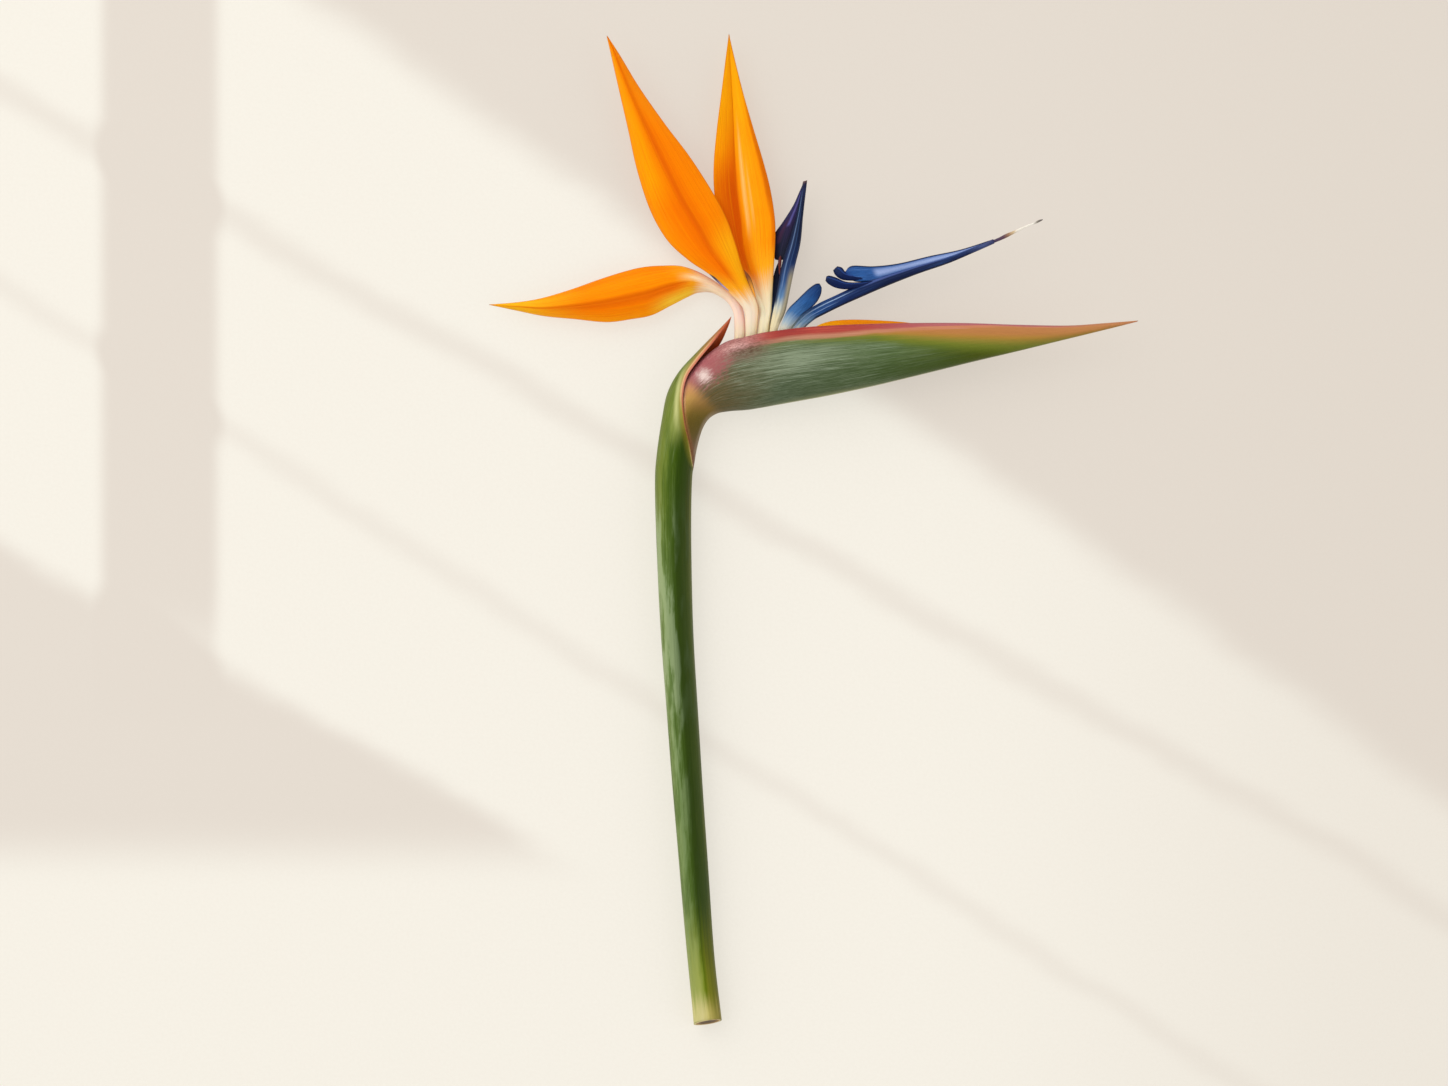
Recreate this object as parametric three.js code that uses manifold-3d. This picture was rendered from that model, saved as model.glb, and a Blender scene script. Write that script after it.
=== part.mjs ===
import * as THREE from 'three';
import { mergeVertices } from 'three/addons/utils/BufferGeometryUtils.js';
import Module from 'manifold-3d';

// A cut bird of paradise flower that lies on its side, in millimetres.
// X runs along the spathe to its beak, Y runs up the stem, Z is up from the surface it lies on.
// The origin is the middle of the flower's box, on the surface.

const wasm = await Module();
wasm.setup();

// Driving dimensions
const GAP = 0.32; // clearance between two pieces that touch
const SHEATH_WALL = 1.0;
const SPATHE_WALL = 1.3;
const PIVOT_X = -50; // where the flower's plane crosses the axis of the stem
const LIFT = 6.6; // height of the stem's axis at the bend
const RISE = 0.055; // climb of the flower's plane for each mm towards the beak
const TRIM = 0.1; // depth to which the low points are pressed flat
const ARCH = 0.5; // height of the stem's middle over the surface
const SHEATH_FLOOR = -8; // y at which the hollow of the sheath begins
const CLAW_SEAT = 67.0; // y at which a floret's base ends and its sepals and petals begin
const REACH = 25; // how far the cutting solids reach past the flower
const OVERLAP = 0.05; // by which two cutting solids run into each other
const MARGIN_STEPS = 16;

// The flower is drawn in its own plane: x, y, and h, the height over that plane.
const laid = new THREE.Matrix4()
  .makeShear(0, RISE, 0, 0, 0, 0)
  .setPosition(0, 0, LIFT - RISE * PIVOT_X);
const at = (x, y, h) => new THREE.Vector3(x, y, h).applyMatrix4(laid);

const mix = (a, b, t) => a + (b - a) * t;

// A smooth line through rows of numbers, with t from 0 at the first row to 1 at the last.
function along(rows, t) {
  const place = THREE.MathUtils.clamp(t, 0, 1) * (rows.length - 1);
  const i = Math.min(Math.floor(place), rows.length - 2);
  const f = place - i;
  const b = rows[i];
  const c = rows[i + 1];
  const a = rows[i - 1] ?? b;
  const d = rows[i + 2] ?? c;
  return b.map((value, k) => {
    const bend = 2 * a[k] - 5 * value + 4 * c[k] - d[k];
    const twist = 3 * value - a[k] - 3 * c[k] + d[k];
    return value + 0.5 * f * (c[k] - a[k] + f * (bend + f * twist));
  });
}

// A closed surface from points and triangles, with its faces turned outwards.
function surface(points, faces) {
  let volume = 0;
  for (let i = 0; i < faces.length; i += 3) {
    const [a, b, c] = [points[faces[i]], points[faces[i + 1]], points[faces[i + 2]]];
    volume += a.dot(new THREE.Vector3().crossVectors(b, c));
  }
  const outward = volume > 0 ? faces : faces.toReversed();
  const geometry = new THREE.BufferGeometry().setFromPoints(points);
  geometry.setIndex(outward);
  return geometry;
}

// A body through a row of closed loops, with a fan over each end.
function skin(loops) {
  const sides = loops[0].length;
  const last = (loops.length - 1) * sides;
  const points = loops.flat();
  const ends = [loops[0], loops.at(-1)].map((loop) => {
    const middle = new THREE.Vector3();
    loop.forEach((point) => middle.add(point));
    return points.push(middle.divideScalar(sides)) - 1;
  });
  const faces = [];
  for (let k = 0; k < sides; k += 1) {
    const next = (k + 1) % sides;
    for (let start = 0; start < last; start += sides) {
      faces.push(start + k, start + next, start + sides + next);
      faces.push(start + k, start + sides + next, start + sides + k);
    }
    faces.push(ends[0], next, k);
    faces.push(ends[1], last + k, last + next);
  }
  return surface(points, faces);
}

// A loop of the flower's plane between two edge points, with a round or egg-shaped section.
// The section's taper is 0 for an ellipse, and more for a narrow keel below blunt lips.
function loop(low, top, h, depth, taper, sides) {
  const points = [];
  for (let k = 0; k < sides; k += 1) {
    const angle = (2 * Math.PI * k) / sides;
    const v = (1 - Math.cos(angle)) / 2;
    const blunt = v < 0.5 ? 1 - 0.3 * taper : 1 - 1.1 * taper;
    const flank = Math.abs(Math.sin(angle)) ** blunt * (1 - taper * v) / (1 - 0.42 * taper);
    const side = Math.sign(Math.sin(angle));
    points.push(at(mix(low[0], top[0], v), mix(low[1], top[1], v), h + depth * side * flank));
  }
  return points;
}

// A round limb through rows of two edge points, the height over the plane, the half depth and,
// where the section isn't an ellipse, its taper. The inset makes it thinner by that much all round.
function limb(rows, { steps, sides = 16, inset = 0, from = 0, to = 1 }) {
  const loops = [];
  for (let i = 0; i <= steps; i += 1) {
    const [ax, ay, bx, by, h, depth, taper = 0] = along(rows, mix(from, to, i / steps));
    const share = inset / Math.hypot(bx - ax, by - ay);
    const low = [mix(ax, bx, share), mix(ay, by, share)];
    const top = [mix(bx, ax, share), mix(by, ay, share)];
    loops.push(loop(low, top, h, depth - inset, taper, sides));
  }
  return skin(loops);
}

// A blade with a crease between its two edges, alike on both faces, pointed at its far end.
// Each edge is a row of [x, y, h]; thick holds the thickness at the same places.
function blade({ left, crease, right, thick, crown = 0 }, rows, columns) {
  const spot = (t, u) => {
    const edge = along(u < 0 ? left : right, t);
    const middle = along(crease, t);
    const across = Math.abs(u);
    const [x, y, h] = middle.map((value, k) => mix(value, edge[k], across));
    return at(x, y, h + crown * Math.sin(Math.PI * across) * Math.sin(Math.PI * t));
  };
  const step = 0.01;
  const upper = [];
  const lower = [];
  for (let i = 0; i < rows; i += 1) {
    for (let j = 0; j <= columns; j += 1) {
      const t = i / rows;
      const u = (2 * j) / columns - 1;
      const lengthwise = spot(t + step, u).sub(spot(Math.max(t - step, 0), u));
      const across = spot(t, Math.min(u + step, 1)).sub(spot(t, Math.max(u - step, -1)));
      const half = across.cross(lengthwise).setLength(along(thick, t)[0] / 2);
      upper.push(spot(t, u).add(half));
      lower.push(spot(t, u).sub(half));
    }
  }
  const points = [...upper, ...lower, spot(1, 0)];
  const tip = points.length - 1;
  const top = (i, j) => i * (columns + 1) + j;
  const under = (i, j) => upper.length + top(i, j);
  const faces = [];
  const quad = (a, b, c, d) => faces.push(a, b, c, a, c, d);
  for (let i = 0; i < rows - 1; i += 1) {
    for (let j = 0; j < columns; j += 1) {
      quad(top(i, j), top(i, j + 1), top(i + 1, j + 1), top(i + 1, j));
      faces.push(under(i, j), under(i + 1, j + 1), under(i, j + 1));
      faces.push(under(i, j), under(i + 1, j), under(i + 1, j + 1));
    }
    quad(top(i, 0), top(i + 1, 0), under(i + 1, 0), under(i, 0));
    quad(top(i, columns), under(i, columns), under(i + 1, columns), top(i + 1, columns));
  }
  const end = rows - 1;
  for (let j = 0; j < columns; j += 1) {
    quad(top(0, j), under(0, j), under(0, j + 1), top(0, j + 1));
    faces.push(top(end, j), top(end, j + 1), tip);
    faces.push(under(end, j + 1), under(end, j), tip);
  }
  faces.push(top(end, 0), tip, under(end, 0));
  faces.push(under(end, columns), tip, top(end, columns));
  return surface(points, faces);
}

// Joins and cuts work on solids, and the result goes back to a geometry.
function solid(geometry) {
  const vertProperties = new Float32Array(geometry.attributes.position.array);
  const triVerts = new Uint32Array(geometry.index.array);
  return new wasm.Manifold(new wasm.Mesh({ numProp: 3, vertProperties, triVerts }));
}

function shape(body) {
  const { vertProperties, triVerts } = body.getMesh();
  const geometry = new THREE.BufferGeometry();
  geometry.setAttribute('position', new THREE.BufferAttribute(vertProperties, 3));
  geometry.setIndex(new THREE.BufferAttribute(triVerts, 1));
  return geometry;
}

// A box or an extrusion as a solid, with its shared corners merged.
function block(geometry) {
  geometry.deleteAttribute('normal');
  geometry.deleteAttribute('uv');
  return solid(mergeVertices(geometry));
}

// What would lie under the surface is pressed flat.
const table = block(new THREE.BoxGeometry(400, 500, 20).translate(0, 0, -10));

// The stem: a long scape whose top is a sheath, open along a slanting margin.
// Each row of the scape is its left and right edge, its radius and its share of the arch.
const scapeRows = [
  [-42.8, -179.3, -32.7, -177.8, 5.05, 0],
  [-45.0, -155, -35.2, -155, 5.05, 0.5],
  [-48.1, -120, -37.7, -120, 5.2, 0.9],
  [-51.4, -80, -40.3, -80, 5.55, 1],
  [-54.4, -40, -42.7, -40, 5.85, 0.8],
  [-56.1, SHEATH_FLOOR, -43.6, SHEATH_FLOOR, 6.28, 0.35],
].map(([ax, ay, bx, by, radius, arch]) => {
  const climb = RISE * ((ax + bx) / 2 - PIVOT_X);
  return [ax, ay, bx, by, radius + ARCH * arch - TRIM - LIFT - climb, radius];
});
const sheathRows = [
  [-56.7, 16.7, -43.4, 16.7, 0, 6.65],
  [-56.0, 28, -42.3, 26, 0, 6.8],
  [-54.2, 40.5, -40.4, 33.6, 0, 6.9],
  [-52.2, 49.7, -38.3, 38.4, 0, 6.9],
  [-48.1, 57.2, -35.4, 45.2, 0, 6.7],
  [-41.6, 64.3, -31.0, 54, 0, 5.9],
  [-35.2, 70.8, -28.4, 64.5, 0, 4.2],
  [-31.4, 74.7, -28.0, 72, 0, 2.0],
  [-29.3, 77.1, -29.0, 76.8, 0, 0.3],
];
const stemRows = [...scapeRows, ...sheathRows];
const stemPlace = (row) => row / (stemRows.length - 1);
const floorRow = scapeRows.length - 1;

function sheathHollow(inset, row) {
  const span = { from: stemPlace(row), to: stemPlace(stemRows.length - 1.8) };
  return solid(limb(stemRows, { steps: 18, inset, ...span }));
}

// The margin of the sheath, from the fork at the right of the stem to its pointed tip.
const frontMargin = [[-42.3, 17.5], [-43.9, 29.5], [-45.9, 38.5], [-46.8, 47.7], [-45.4, 55.2],
  [-41.2, 61.6], [-35.6, 68.4], [-29.2, 77.2]];
const backMargin = [[-42.3, 17.5], [-43.6, 29.5], [-44.8, 38.5], [-44.6, 47.7], [-42.2, 55.2],
  [-37.8, 61.6], [-32.9, 68.4], [-29.2, 77.2]];

function rightOf(margin, nearH, farH, shift) {
  const outline = new THREE.Shape();
  outline.moveTo(REACH, margin[0][1] - shift);
  outline.lineTo(REACH, margin.at(-1)[1] + REACH);
  outline.lineTo(margin.at(-1)[0] + shift, margin.at(-1)[1] + REACH);
  for (let i = MARGIN_STEPS; i >= 0; i -= 1) {
    const [x, y] = along(margin, i / MARGIN_STEPS);
    outline.lineTo(x + shift, y);
  }
  const extrusion = { depth: farH - nearH, bevelEnabled: false };
  return block(new THREE.ExtrudeGeometry(outline, extrusion).translate(0, 0, nearH).applyMatrix4(laid));
}

function openSide(shift) {
  const front = rightOf(frontMargin, -OVERLAP, REACH, shift);
  return front.add(rightOf(backMargin, -REACH, OVERLAP, shift));
}

const stem = solid(limb(stemRows, { steps: 42 }))
  .subtract(sheathHollow(SHEATH_WALL, floorRow))
  .subtract(openSide(0))
  .subtract(table);

// The spathe: a neck inside the sheath that swells into a boat with a slot along its top.
// Each row is the keel, the lip, the height, the half width and the taper of the section.
const spatheRows = [
  [-44.2, SHEATH_FLOOR + GAP, -55.4, SHEATH_FLOOR + GAP, 0, 6.1, 0],
  [-43.9, 6, -56.0, 6, 0, 6.2, 0],
  [-43.3, 17, -56.3, 19, 0, 6.35, 0],
  [-42.3, 25.5, -55.2, 31, 0, 6.5, 0],
  [-40.8, 33, -52.4, 43, 0, 6.6, 0.02],
  [-38.3, 39, -47.4, 53, 0, 6.7, 0.08],
  [-34.5, 42, -40.6, 61.2, 0, 6.9, 0.2],
  [-29.5, 43.0, -32.6, 67.2, 0, 7.4, 0.32],
  [-22, 43.7, -24.0, 70.7, 0, 8.1, 0.4],
  [-12, 45.4, -13, 72.5, 0, 8.85, 0.42],
  [0, 47.5, 0, 73.8, 0, 9.2, 0.42],
  [16, 50.7, 16.5, 74.4, 0, 8.7, 0.42],
  [34, 54.8, 34.5, 74.7, 0, 7.3, 0.4],
  [54, 59.7, 54, 74.6, 0, 5.5, 0.38],
  [74, 64.5, 74, 73.9, 0, 3.9, 0.3],
  [92, 68.9, 92, 73.6, 0, 2.5, 0.2],
  [106, 72.3, 106, 74.5, 0, 1.3, 0.1],
  [116.4, 74.9, 116.8, 75.3, 0, 0.3, 0],
];
const boat = { from: 0.385, to: 0.89, steps: 20 };
const SLOT_START = 0.02;

// The slot between the lips: its half width at even steps from the shoulder to the beak.
const slotWidths = [[0.8], [3.2], [3.3], [3.3], [3.1], [2.5], [1.8], [1.2], [0.8], [0.5]];

function slot(inset) {
  const loops = [];
  for (let i = 0; i <= boat.steps; i += 1) {
    const place = mix(boat.from + SLOT_START, boat.to, i / boat.steps);
    const [ax, ay, bx, by] = along(spatheRows, place);
    const half = Math.max(along(slotWidths, i / boat.steps)[0] - inset, 0.1);
    const corners = [[0.5, -half], [0.5, half], [1.2, half], [1.2, -half]];
    loops.push(corners.map(([v, h]) => at(mix(ax, bx, v), mix(ay, by, v), h)));
  }
  return solid(skin(loops));
}

function boatHollow(inset) {
  return solid(limb(spatheRows, { ...boat, sides: 20, inset: SPATHE_WALL + inset })).add(slot(inset));
}

// The room that the sheath takes round the neck, with its clearance.
const sheathRoom = solid(limb(stemRows, { steps: 42, inset: -2 }))
  .subtract(sheathHollow(SHEATH_WALL + GAP, floorRow - 0.2))
  .subtract(openSide(GAP));
const spathe = solid(limb(spatheRows, { steps: 38, sides: 20 }))
  .subtract(sheathRoom)
  .subtract(boatHollow(0))
  .subtract(table);

// The fleshy bases of the two florets stand in the boat and fill its floor.
const baseOlderRows = [
  [-34, 41, -25, 41, 0, 5.2],
  [-34.6, 50, -23.6, 50, 0, 5.4],
  [-31.4, 59, -18.0, 59, 0, 4.4],
  [-28.2, CLAW_SEAT, -13.3, CLAW_SEAT, 0, 2.7],
];
const baseYoungerRows = [
  [-22.4, 41, -12, 41, 0, 5.2],
  [-22.4, 50, -9.6, 50, 0, 5.2],
  [-17.2, 59, -4.4, 59, 0, 4.4],
  [-12.7, CLAW_SEAT, -4.0, CLAW_SEAT, 0, 2.7],
];
const floretBase = (rows) => solid(limb(rows, { steps: 8, sides: 14 })).intersect(boatHollow(GAP));

// The sepals of the older floret. Their narrow claws stand side by side on its base.
const seat = CLAW_SEAT + GAP;
const sepalDrooping = {
  left: [[-28.1, seat, 0], [-27.9, 73, -0.3], [-28.3, 78.6, -1.2], [-30.9, 82.9, -2.0],
    [-35.9, 85.8, -2.3], [-40.9, 85.8, -2.1], [-44.5, 84.4, -1.5], [-51.1, 81, -0.6],
    [-57.9, 77.6, 0.1], [-65, 76.2, 0.6], [-74.1, 75.1, 1.0], [-85.7, 76.2, 1.4],
    [-96.7, 77.3, 1.6], [-106.6, 79.3, 1.8], [-116.8, 81.5, 2.0]],
  crease: [[-26.3, seat, 0], [-26.15, 73, -0.2], [-26.7, 78.9, -0.9], [-29.6, 83.9, -1.3],
    [-35, 87.3, -0.9], [-40.4, 89, 0.2], [-45.3, 89.3, 1.4], [-52.5, 87.4, 2.6],
    [-59.5, 85, 3.4], [-66.5, 83.5, 3.9], [-75.4, 81.9, 4.0], [-86.2, 80.6, 3.7],
    [-97, 80, 3.1], [-106.5, 80.7, 2.6], [-116.8, 81.5, 2.0]],
  right: [[-24.5, seat, 0], [-24.4, 73, -0.3], [-25.1, 79.2, -1.2], [-28.3, 84.9, -2.0],
    [-33.8, 88.9, -2.2], [-39.9, 92.7, -1.8], [-46.9, 95.3, -1.0], [-54.4, 95.5, -0.2],
    [-61.4, 94.9, 0.4], [-68.4, 93.2, 0.9], [-76.9, 90.5, 1.3], [-86.8, 87, 1.5],
    [-97.3, 83.9, 1.7], [-106, 82.4, 1.9], [-116.8, 81.5, 2.0]],
  thick: [[3.4], [2.7], [2.0], [1.8], [1.5], [1.2], [1.0], [0.9], [0.9], [0.9], [0.9], [0.9],
    [0.8], [0.7], [0.6]],
  crown: 0.5,
};
const sepalTallLeft = {
  left: [[-24.1, seat, 0], [-24.0, 73.5, 0.3], [-24.7, 79.6, 0.8], [-29.7, 85.5, 1.2],
    [-36.9, 92, 1.4], [-44.8, 97.4, 1.7], [-52.4, 104.6, 2.1], [-58.5, 115.4, 2.6],
    [-63.2, 129.8, 3.1], [-66.4, 144.2, 3.7], [-69.7, 158.6, 4.5], [-72.6, 171.5, 5.5],
    [-74, 178, 6.3]],
  crease: [[-22.2, seat, 0], [-21.9, 73.5, 0.3], [-22.1, 80.0, 1.2], [-25.9, 86.0, 2.2],
    [-31.1, 92.8, 3.1], [-37.0, 100.1, 3.9], [-41.6, 107.6, 4.5], [-47.9, 118.2, 5.1],
    [-54.5, 131.4, 5.6], [-60.4, 144.8, 6.0], [-66.3, 158.8, 6.3], [-71.3, 171.4, 6.4],
    [-74, 178, 6.3]],
  right: [[-20.3, seat, 0], [-19.9, 73.5, 0.3], [-19.6, 80.4, 1.0], [-21.8, 86.6, 1.4],
    [-24.9, 93.6, 1.6], [-28, 104, 1.8], [-31.5, 113.5, 2.0], [-37, 123.5, 2.2],
    [-44.5, 135, 2.6], [-53, 146.2, 3.2], [-62.2, 159.3, 4.1], [-69.5, 171.3, 5.3],
    [-74, 178, 6.3]],
  thick: [[3.4], [2.6], [1.6], [1.3], [1.1], [1.0], [0.9], [0.9], [0.9], [0.9], [0.9], [0.8],
    [0.7]],
  crown: 0.6,
};
const sepalTallRight = {
  left: [[-19.9, seat, 0], [-19.5, 73.5, -0.3], [-19.3, 79.2, -1.0], [-22.6, 84.7, -1.3],
    [-26.3, 92.1, -1.2], [-30.1, 100.5, -1.0], [-33.4, 110.2, -0.6], [-35.3, 120.8, -0.2],
    [-35.6, 131.6, 0], [-34.5, 144.3, 0], [-32.9, 157.1, -0.2], [-31.3, 170, -0.6],
    [-30.1, 179.1, -1.0]],
  crease: [[-18.05, seat, 0], [-17.6, 73.5, -0.3], [-17.1, 79.4, -1.1], [-19.4, 85.8, -1.8],
    [-22.4, 93.4, -2.4], [-24.9, 101.8, -3.0], [-26, 111.3, -3.4], [-27.3, 121.6, -3.5],
    [-27.9, 132.3, -3.3], [-28.3, 144.9, -2.9], [-28.9, 157.5, -2.3], [-29.6, 170, -1.6],
    [-30.1, 179.1, -1.0]],
  right: [[-16.2, seat, 0], [-15.8, 73.5, -0.2], [-14.9, 79.5, -0.6], [-14.5, 86.5, -0.6],
    [-13.9, 94.6, -0.3], [-13.4, 103.9, 0], [-13.5, 111.9, 0.2], [-15.1, 122.6, 0.3],
    [-17.8, 133.2, 0.3], [-21.5, 145.6, 0.1], [-25, 157.9, -0.2], [-28, 170, -0.6],
    [-30.1, 179.1, -1.0]],
  thick: [[3.4], [2.6], [1.6], [1.3], [1.1], [1.0], [0.9], [0.9], [0.9], [0.9], [0.9], [0.8],
    [0.7]],
  crown: 0.5,
};
// A sepal of the younger floret, still folded in the slot of the spathe.
const sepalFolded = {
  left: [[-3.7, 66.2, -0.4], [0, 72.3, -0.5], [5, 75.0, -0.7], [13, 75.9, -0.7], [24, 75.6, -0.6],
    [34, 74.8, -0.5], [44, 73.2, -0.4], [53, 70.8, -0.2], [61, 68.6, 0]],
  crease: [[-3.7, 64.1, 0], [0, 66.5, 0.1], [5, 67.6, 0.3], [13, 68.2, 0.4], [24, 68.8, 0.4],
    [34, 69.4, 0.3], [44, 69.7, 0.2], [53, 69.3, 0.1], [61, 68.6, 0]],
  right: [[-3.7, 62.2, -0.4], [0, 61.6, -0.5], [5, 60.9, -0.6], [13, 60.9, -0.6], [24, 62.3, -0.5],
    [34, 64.3, -0.4], [44, 66.4, -0.3], [53, 67.8, -0.2], [61, 68.6, 0]],
  thick: [[1.8], [1.2], [0.9], [0.9], [0.8], [0.8], [0.8], [0.7], [0.6]],
};

// The hooded third petal of each floret, a short blue lobe.
const hoodOlder = {
  left: [[-15.9, seat, -2.2], [-15.8, 73.5, -2.2], [-15.5, 80.5, -2.5], [-14.9, 87.5, -2.7],
    [-13.6, 93.4, -2.5], [-12.2, 97.0, -2.4]],
  crease: [[-14.4, seat, -2.2], [-14.3, 73.5, -2.2], [-14.0, 80.5, -2.5], [-13.2, 87.5, -2.8],
    [-12.5, 93.4, -2.6], [-12.2, 97.0, -2.4]],
  right: [[-13, seat, -2.2], [-12.9, 73.5, -2.2], [-12.3, 80.5, -2.5], [-11.6, 87.5, -2.7],
    [-11.3, 93.4, -2.5], [-12.2, 97.0, -2.4]],
  thick: [[1.1], [1.0], [0.9], [0.9], [0.8], [0.7]],
};
const hoodYounger = {
  left: [[-12.7, seat, 0.2], [-12.3, 71, 0.4], [-11.0, 75.1, 0.9], [-8.9, 79.5, 1.5],
    [-5.4, 83.1, 2.0], [-1.7, 86.7, 2.1], [0.9, 88.6, 2.1], [2.5, 88.8, 2.1]],
  crease: [[-10.9, seat, 0.2], [-10.5, 71, 0.5], [-9.4, 74.4, 1.2], [-6.7, 78.3, 2.0],
    [-3.2, 81.3, 2.6], [-0.2, 84.3, 2.7], [2.0, 86.8, 2.5], [2.9, 88.2, 2.1]],
  right: [[-9.2, seat, 0.2], [-8.5, 70.6, 0.5], [-7.1, 73.9, 1.3], [-4.2, 77.1, 1.8],
    [-1.0, 79.6, 2.0], [1.5, 82.1, 2.0], [3.0, 84.9, 2.1], [3.3, 87.3, 2.1]],
  thick: [[2.2], [1.7], [1.4], [1.2], [1.1], [1.1], [1.0], [0.8]],
};

// The tongues: two blue petals grown together round the style, with a wing and barbs.
const tongueUprightCore = [
  [-15.8, seat, -13.3, seat, 0.6, 1.6],
  [-15.3, 73, -12.3, 73, 0.6, 1.5],
  [-14.1, 79.5, -9.8, 79, 0.4, 1.6],
  [-12.7, 87, -8.1, 86.9, 0, 1.7],
  [-11.2, 95.5, -6.4, 95, -0.5, 1.7],
  [-8.6, 104, -4.4, 103.5, -0.9, 1.5],
  [-6.0, 113, -3.5, 112.8, -1, 1.1],
  [-4.6, 120, -2.7, 120, -0.9, 0.8],
  [-3.4, 125.7, -1.9, 126.1, -0.7, 0.45],
];
const tongueUprightWing = {
  left: [[-13.4, 97.6, -1.9], [-14.7, 101.5, -2.0], [-14.2, 106, -1.9], [-10.4, 111.6, -1.6],
    [-7.0, 117, -1.2], [-4.8, 121.8, -1.0], [-3.2, 125.4, -0.8]],
  crease: [[-12.2, 97.4, -1.7], [-11.9, 102, -1.8], [-10.6, 106.8, -1.7], [-8.2, 112, -1.4],
    [-5.8, 117.4, -1.1], [-4.2, 122, -0.9], [-3.0, 125.4, -0.8]],
  right: [[-10.2, 97.6, -0.9], [-8.3, 102.4, -1.0], [-7.0, 107.6, -1.0], [-5.6, 112.8, -1.0],
    [-4.4, 117.8, -0.9], [-3.6, 122.2, -0.8], [-2.8, 125.4, -0.8]],
  thick: [[0.8], [0.9], [0.9], [0.9], [0.8], [0.7], [0.5]],
};
const tongueForwardCore = [
  [-8.8, seat, -4.5, seat, 0, 1.7],
  [-8.1, 72.8, -3.8, 71.6, -0.9, 1.5],
  [-4.4, 77.6, 0.1, 75.6, -1.3, 1.5],
  [1.6, 81.5, 4.2, 77.9, -1.0, 1.5],
  [8.6, 84.8, 10.6, 81.0, -0.5, 1.4],
  [16.0, 88.2, 17.6, 84.1, 0, 1.4],
  [25.2, 91.6, 26.7, 88.0, 0, 1.4],
  [36.6, 95.2, 37.7, 92.3, 0, 1.3],
  [47.9, 98.6, 48.8, 96.1, 0, 1.1],
  [57.0, 101.9, 57.8, 99.9, 0, 0.95],
  [64.9, 104.7, 65.3, 103.1, 0, 0.75],
];
const tongueForwardWing = {
  left: [[11.8, 93.2, 0.5], [14.2, 95.2, 0.9], [22, 95.0, 1.2], [31, 96.0, 1.2],
    [42, 98.6, 1.0], [53, 100.9, 0.6], [63.5, 104.2, 0.2]],
  crease: [[12.2, 92.4, 0.4], [15, 92.4, 0.5], [23, 92.6, 0.6], [32, 94.6, 0.6],
    [43, 97.2, 0.6], [53.6, 100, 0.4], [63.5, 104.0, 0.2]],
  right: [[12.8, 91.2, 0.2], [16, 89.4, 0.2], [24, 90.2, 0.2], [33, 93.0, 0.2],
    [44, 96.2, 0.2], [54.2, 99.6, 0.2], [63.5, 103.8, 0.2]],
  thick: [[1.4], [1.4], [1.2], [1.1], [1.0], [0.9], [0.6]],
};
// The barbs: rounded lobes that point back past the stalk of the forward tongue.
const barbLow = {
  left: [[24, 88.9, 0.2], [17, 87.3, 0.5], [12, 86.7, 0.9], [8.2, 87.3, 1.1], [5.6, 88.7, 1.1],
    [4.6, 89.9, 1.0]],
  crease: [[24, 89.6, 0.3], [17, 88.3, 0.7], [12, 88.1, 1.2], [8.2, 89.2, 1.5], [5.7, 90.3, 1.3],
    [4.8, 90.7, 1.0]],
  right: [[24, 90.3, 0.2], [17, 89.3, 0.5], [12, 89.5, 0.9], [8.2, 91.1, 1.1], [5.9, 91.7, 1.1],
    [4.9, 91.3, 1.0]],
  thick: [[1.4], [1.6], [1.6], [1.5], [1.2], [0.8]],
};
const barbMiddle = {
  left: [[18, 89.8, 0.3], [12.6, 89.9, 0.3], [9.9, 90.5, 0.3], [8.1, 92.0, 0.2], [7.4, 93.6, 0.1]],
  crease: [[18, 90.8, 0.3], [13.2, 91.1, 0.5], [10.8, 91.9, 0.7], [9.2, 93.3, 0.5],
    [8.1, 94.4, 0.1]],
  right: [[18, 91.8, 0.3], [13.6, 92.4, 0.3], [11.9, 93.0, 0.3], [10.6, 94.6, 0.2],
    [8.9, 95.1, 0.1]],
  thick: [[1.4], [1.5], [1.5], [1.3], [0.9]],
};

function tongueUpright() {
  const core = solid(limb(tongueUprightCore, { steps: 18, sides: 12 }));
  return core.add(solid(blade(tongueUprightWing, 9, 4)));
}

function tongueForward() {
  const wings = [blade(tongueForwardWing, 9, 4), blade(barbLow, 7, 4), blade(barbMiddle, 6, 4)];
  const core = solid(limb(tongueForwardCore, { steps: 22, sides: 12 }));
  return wings.reduce((body, wing) => body.add(solid(wing)), core);
}

// The style with its stigma comes out of the tip of the forward tongue.
const styleRows = [
  [65.5, 104.55, 65.85, 103.6, 0, 0.7],
  [69.3, 106.5, 69.9, 105.3, 0, 0.65],
  [72.1, 107.6, 72.5, 106.7, 0, 0.5],
  [76.2, 109.4, 76.5, 108.7, 0, 0.4],
  [79.8, 110.9, 80.1, 110.2, 0, 0.4],
  [81.2, 111.7, 81.6, 110.6, 0, 0.6],
  [82.5, 111.8, 82.6, 111.5, 0, 0.2],
];

// Finishes
const finish = (color, roughness) => new THREE.MeshStandardMaterial({ color, roughness, metalness: 0 });
const orangeFinish = finish(0xff8c00, 0.45);
const blueFinish = finish(0x243a7c, 0.5);
const creamFinish = finish(0xf2dfae, 0.5);

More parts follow.
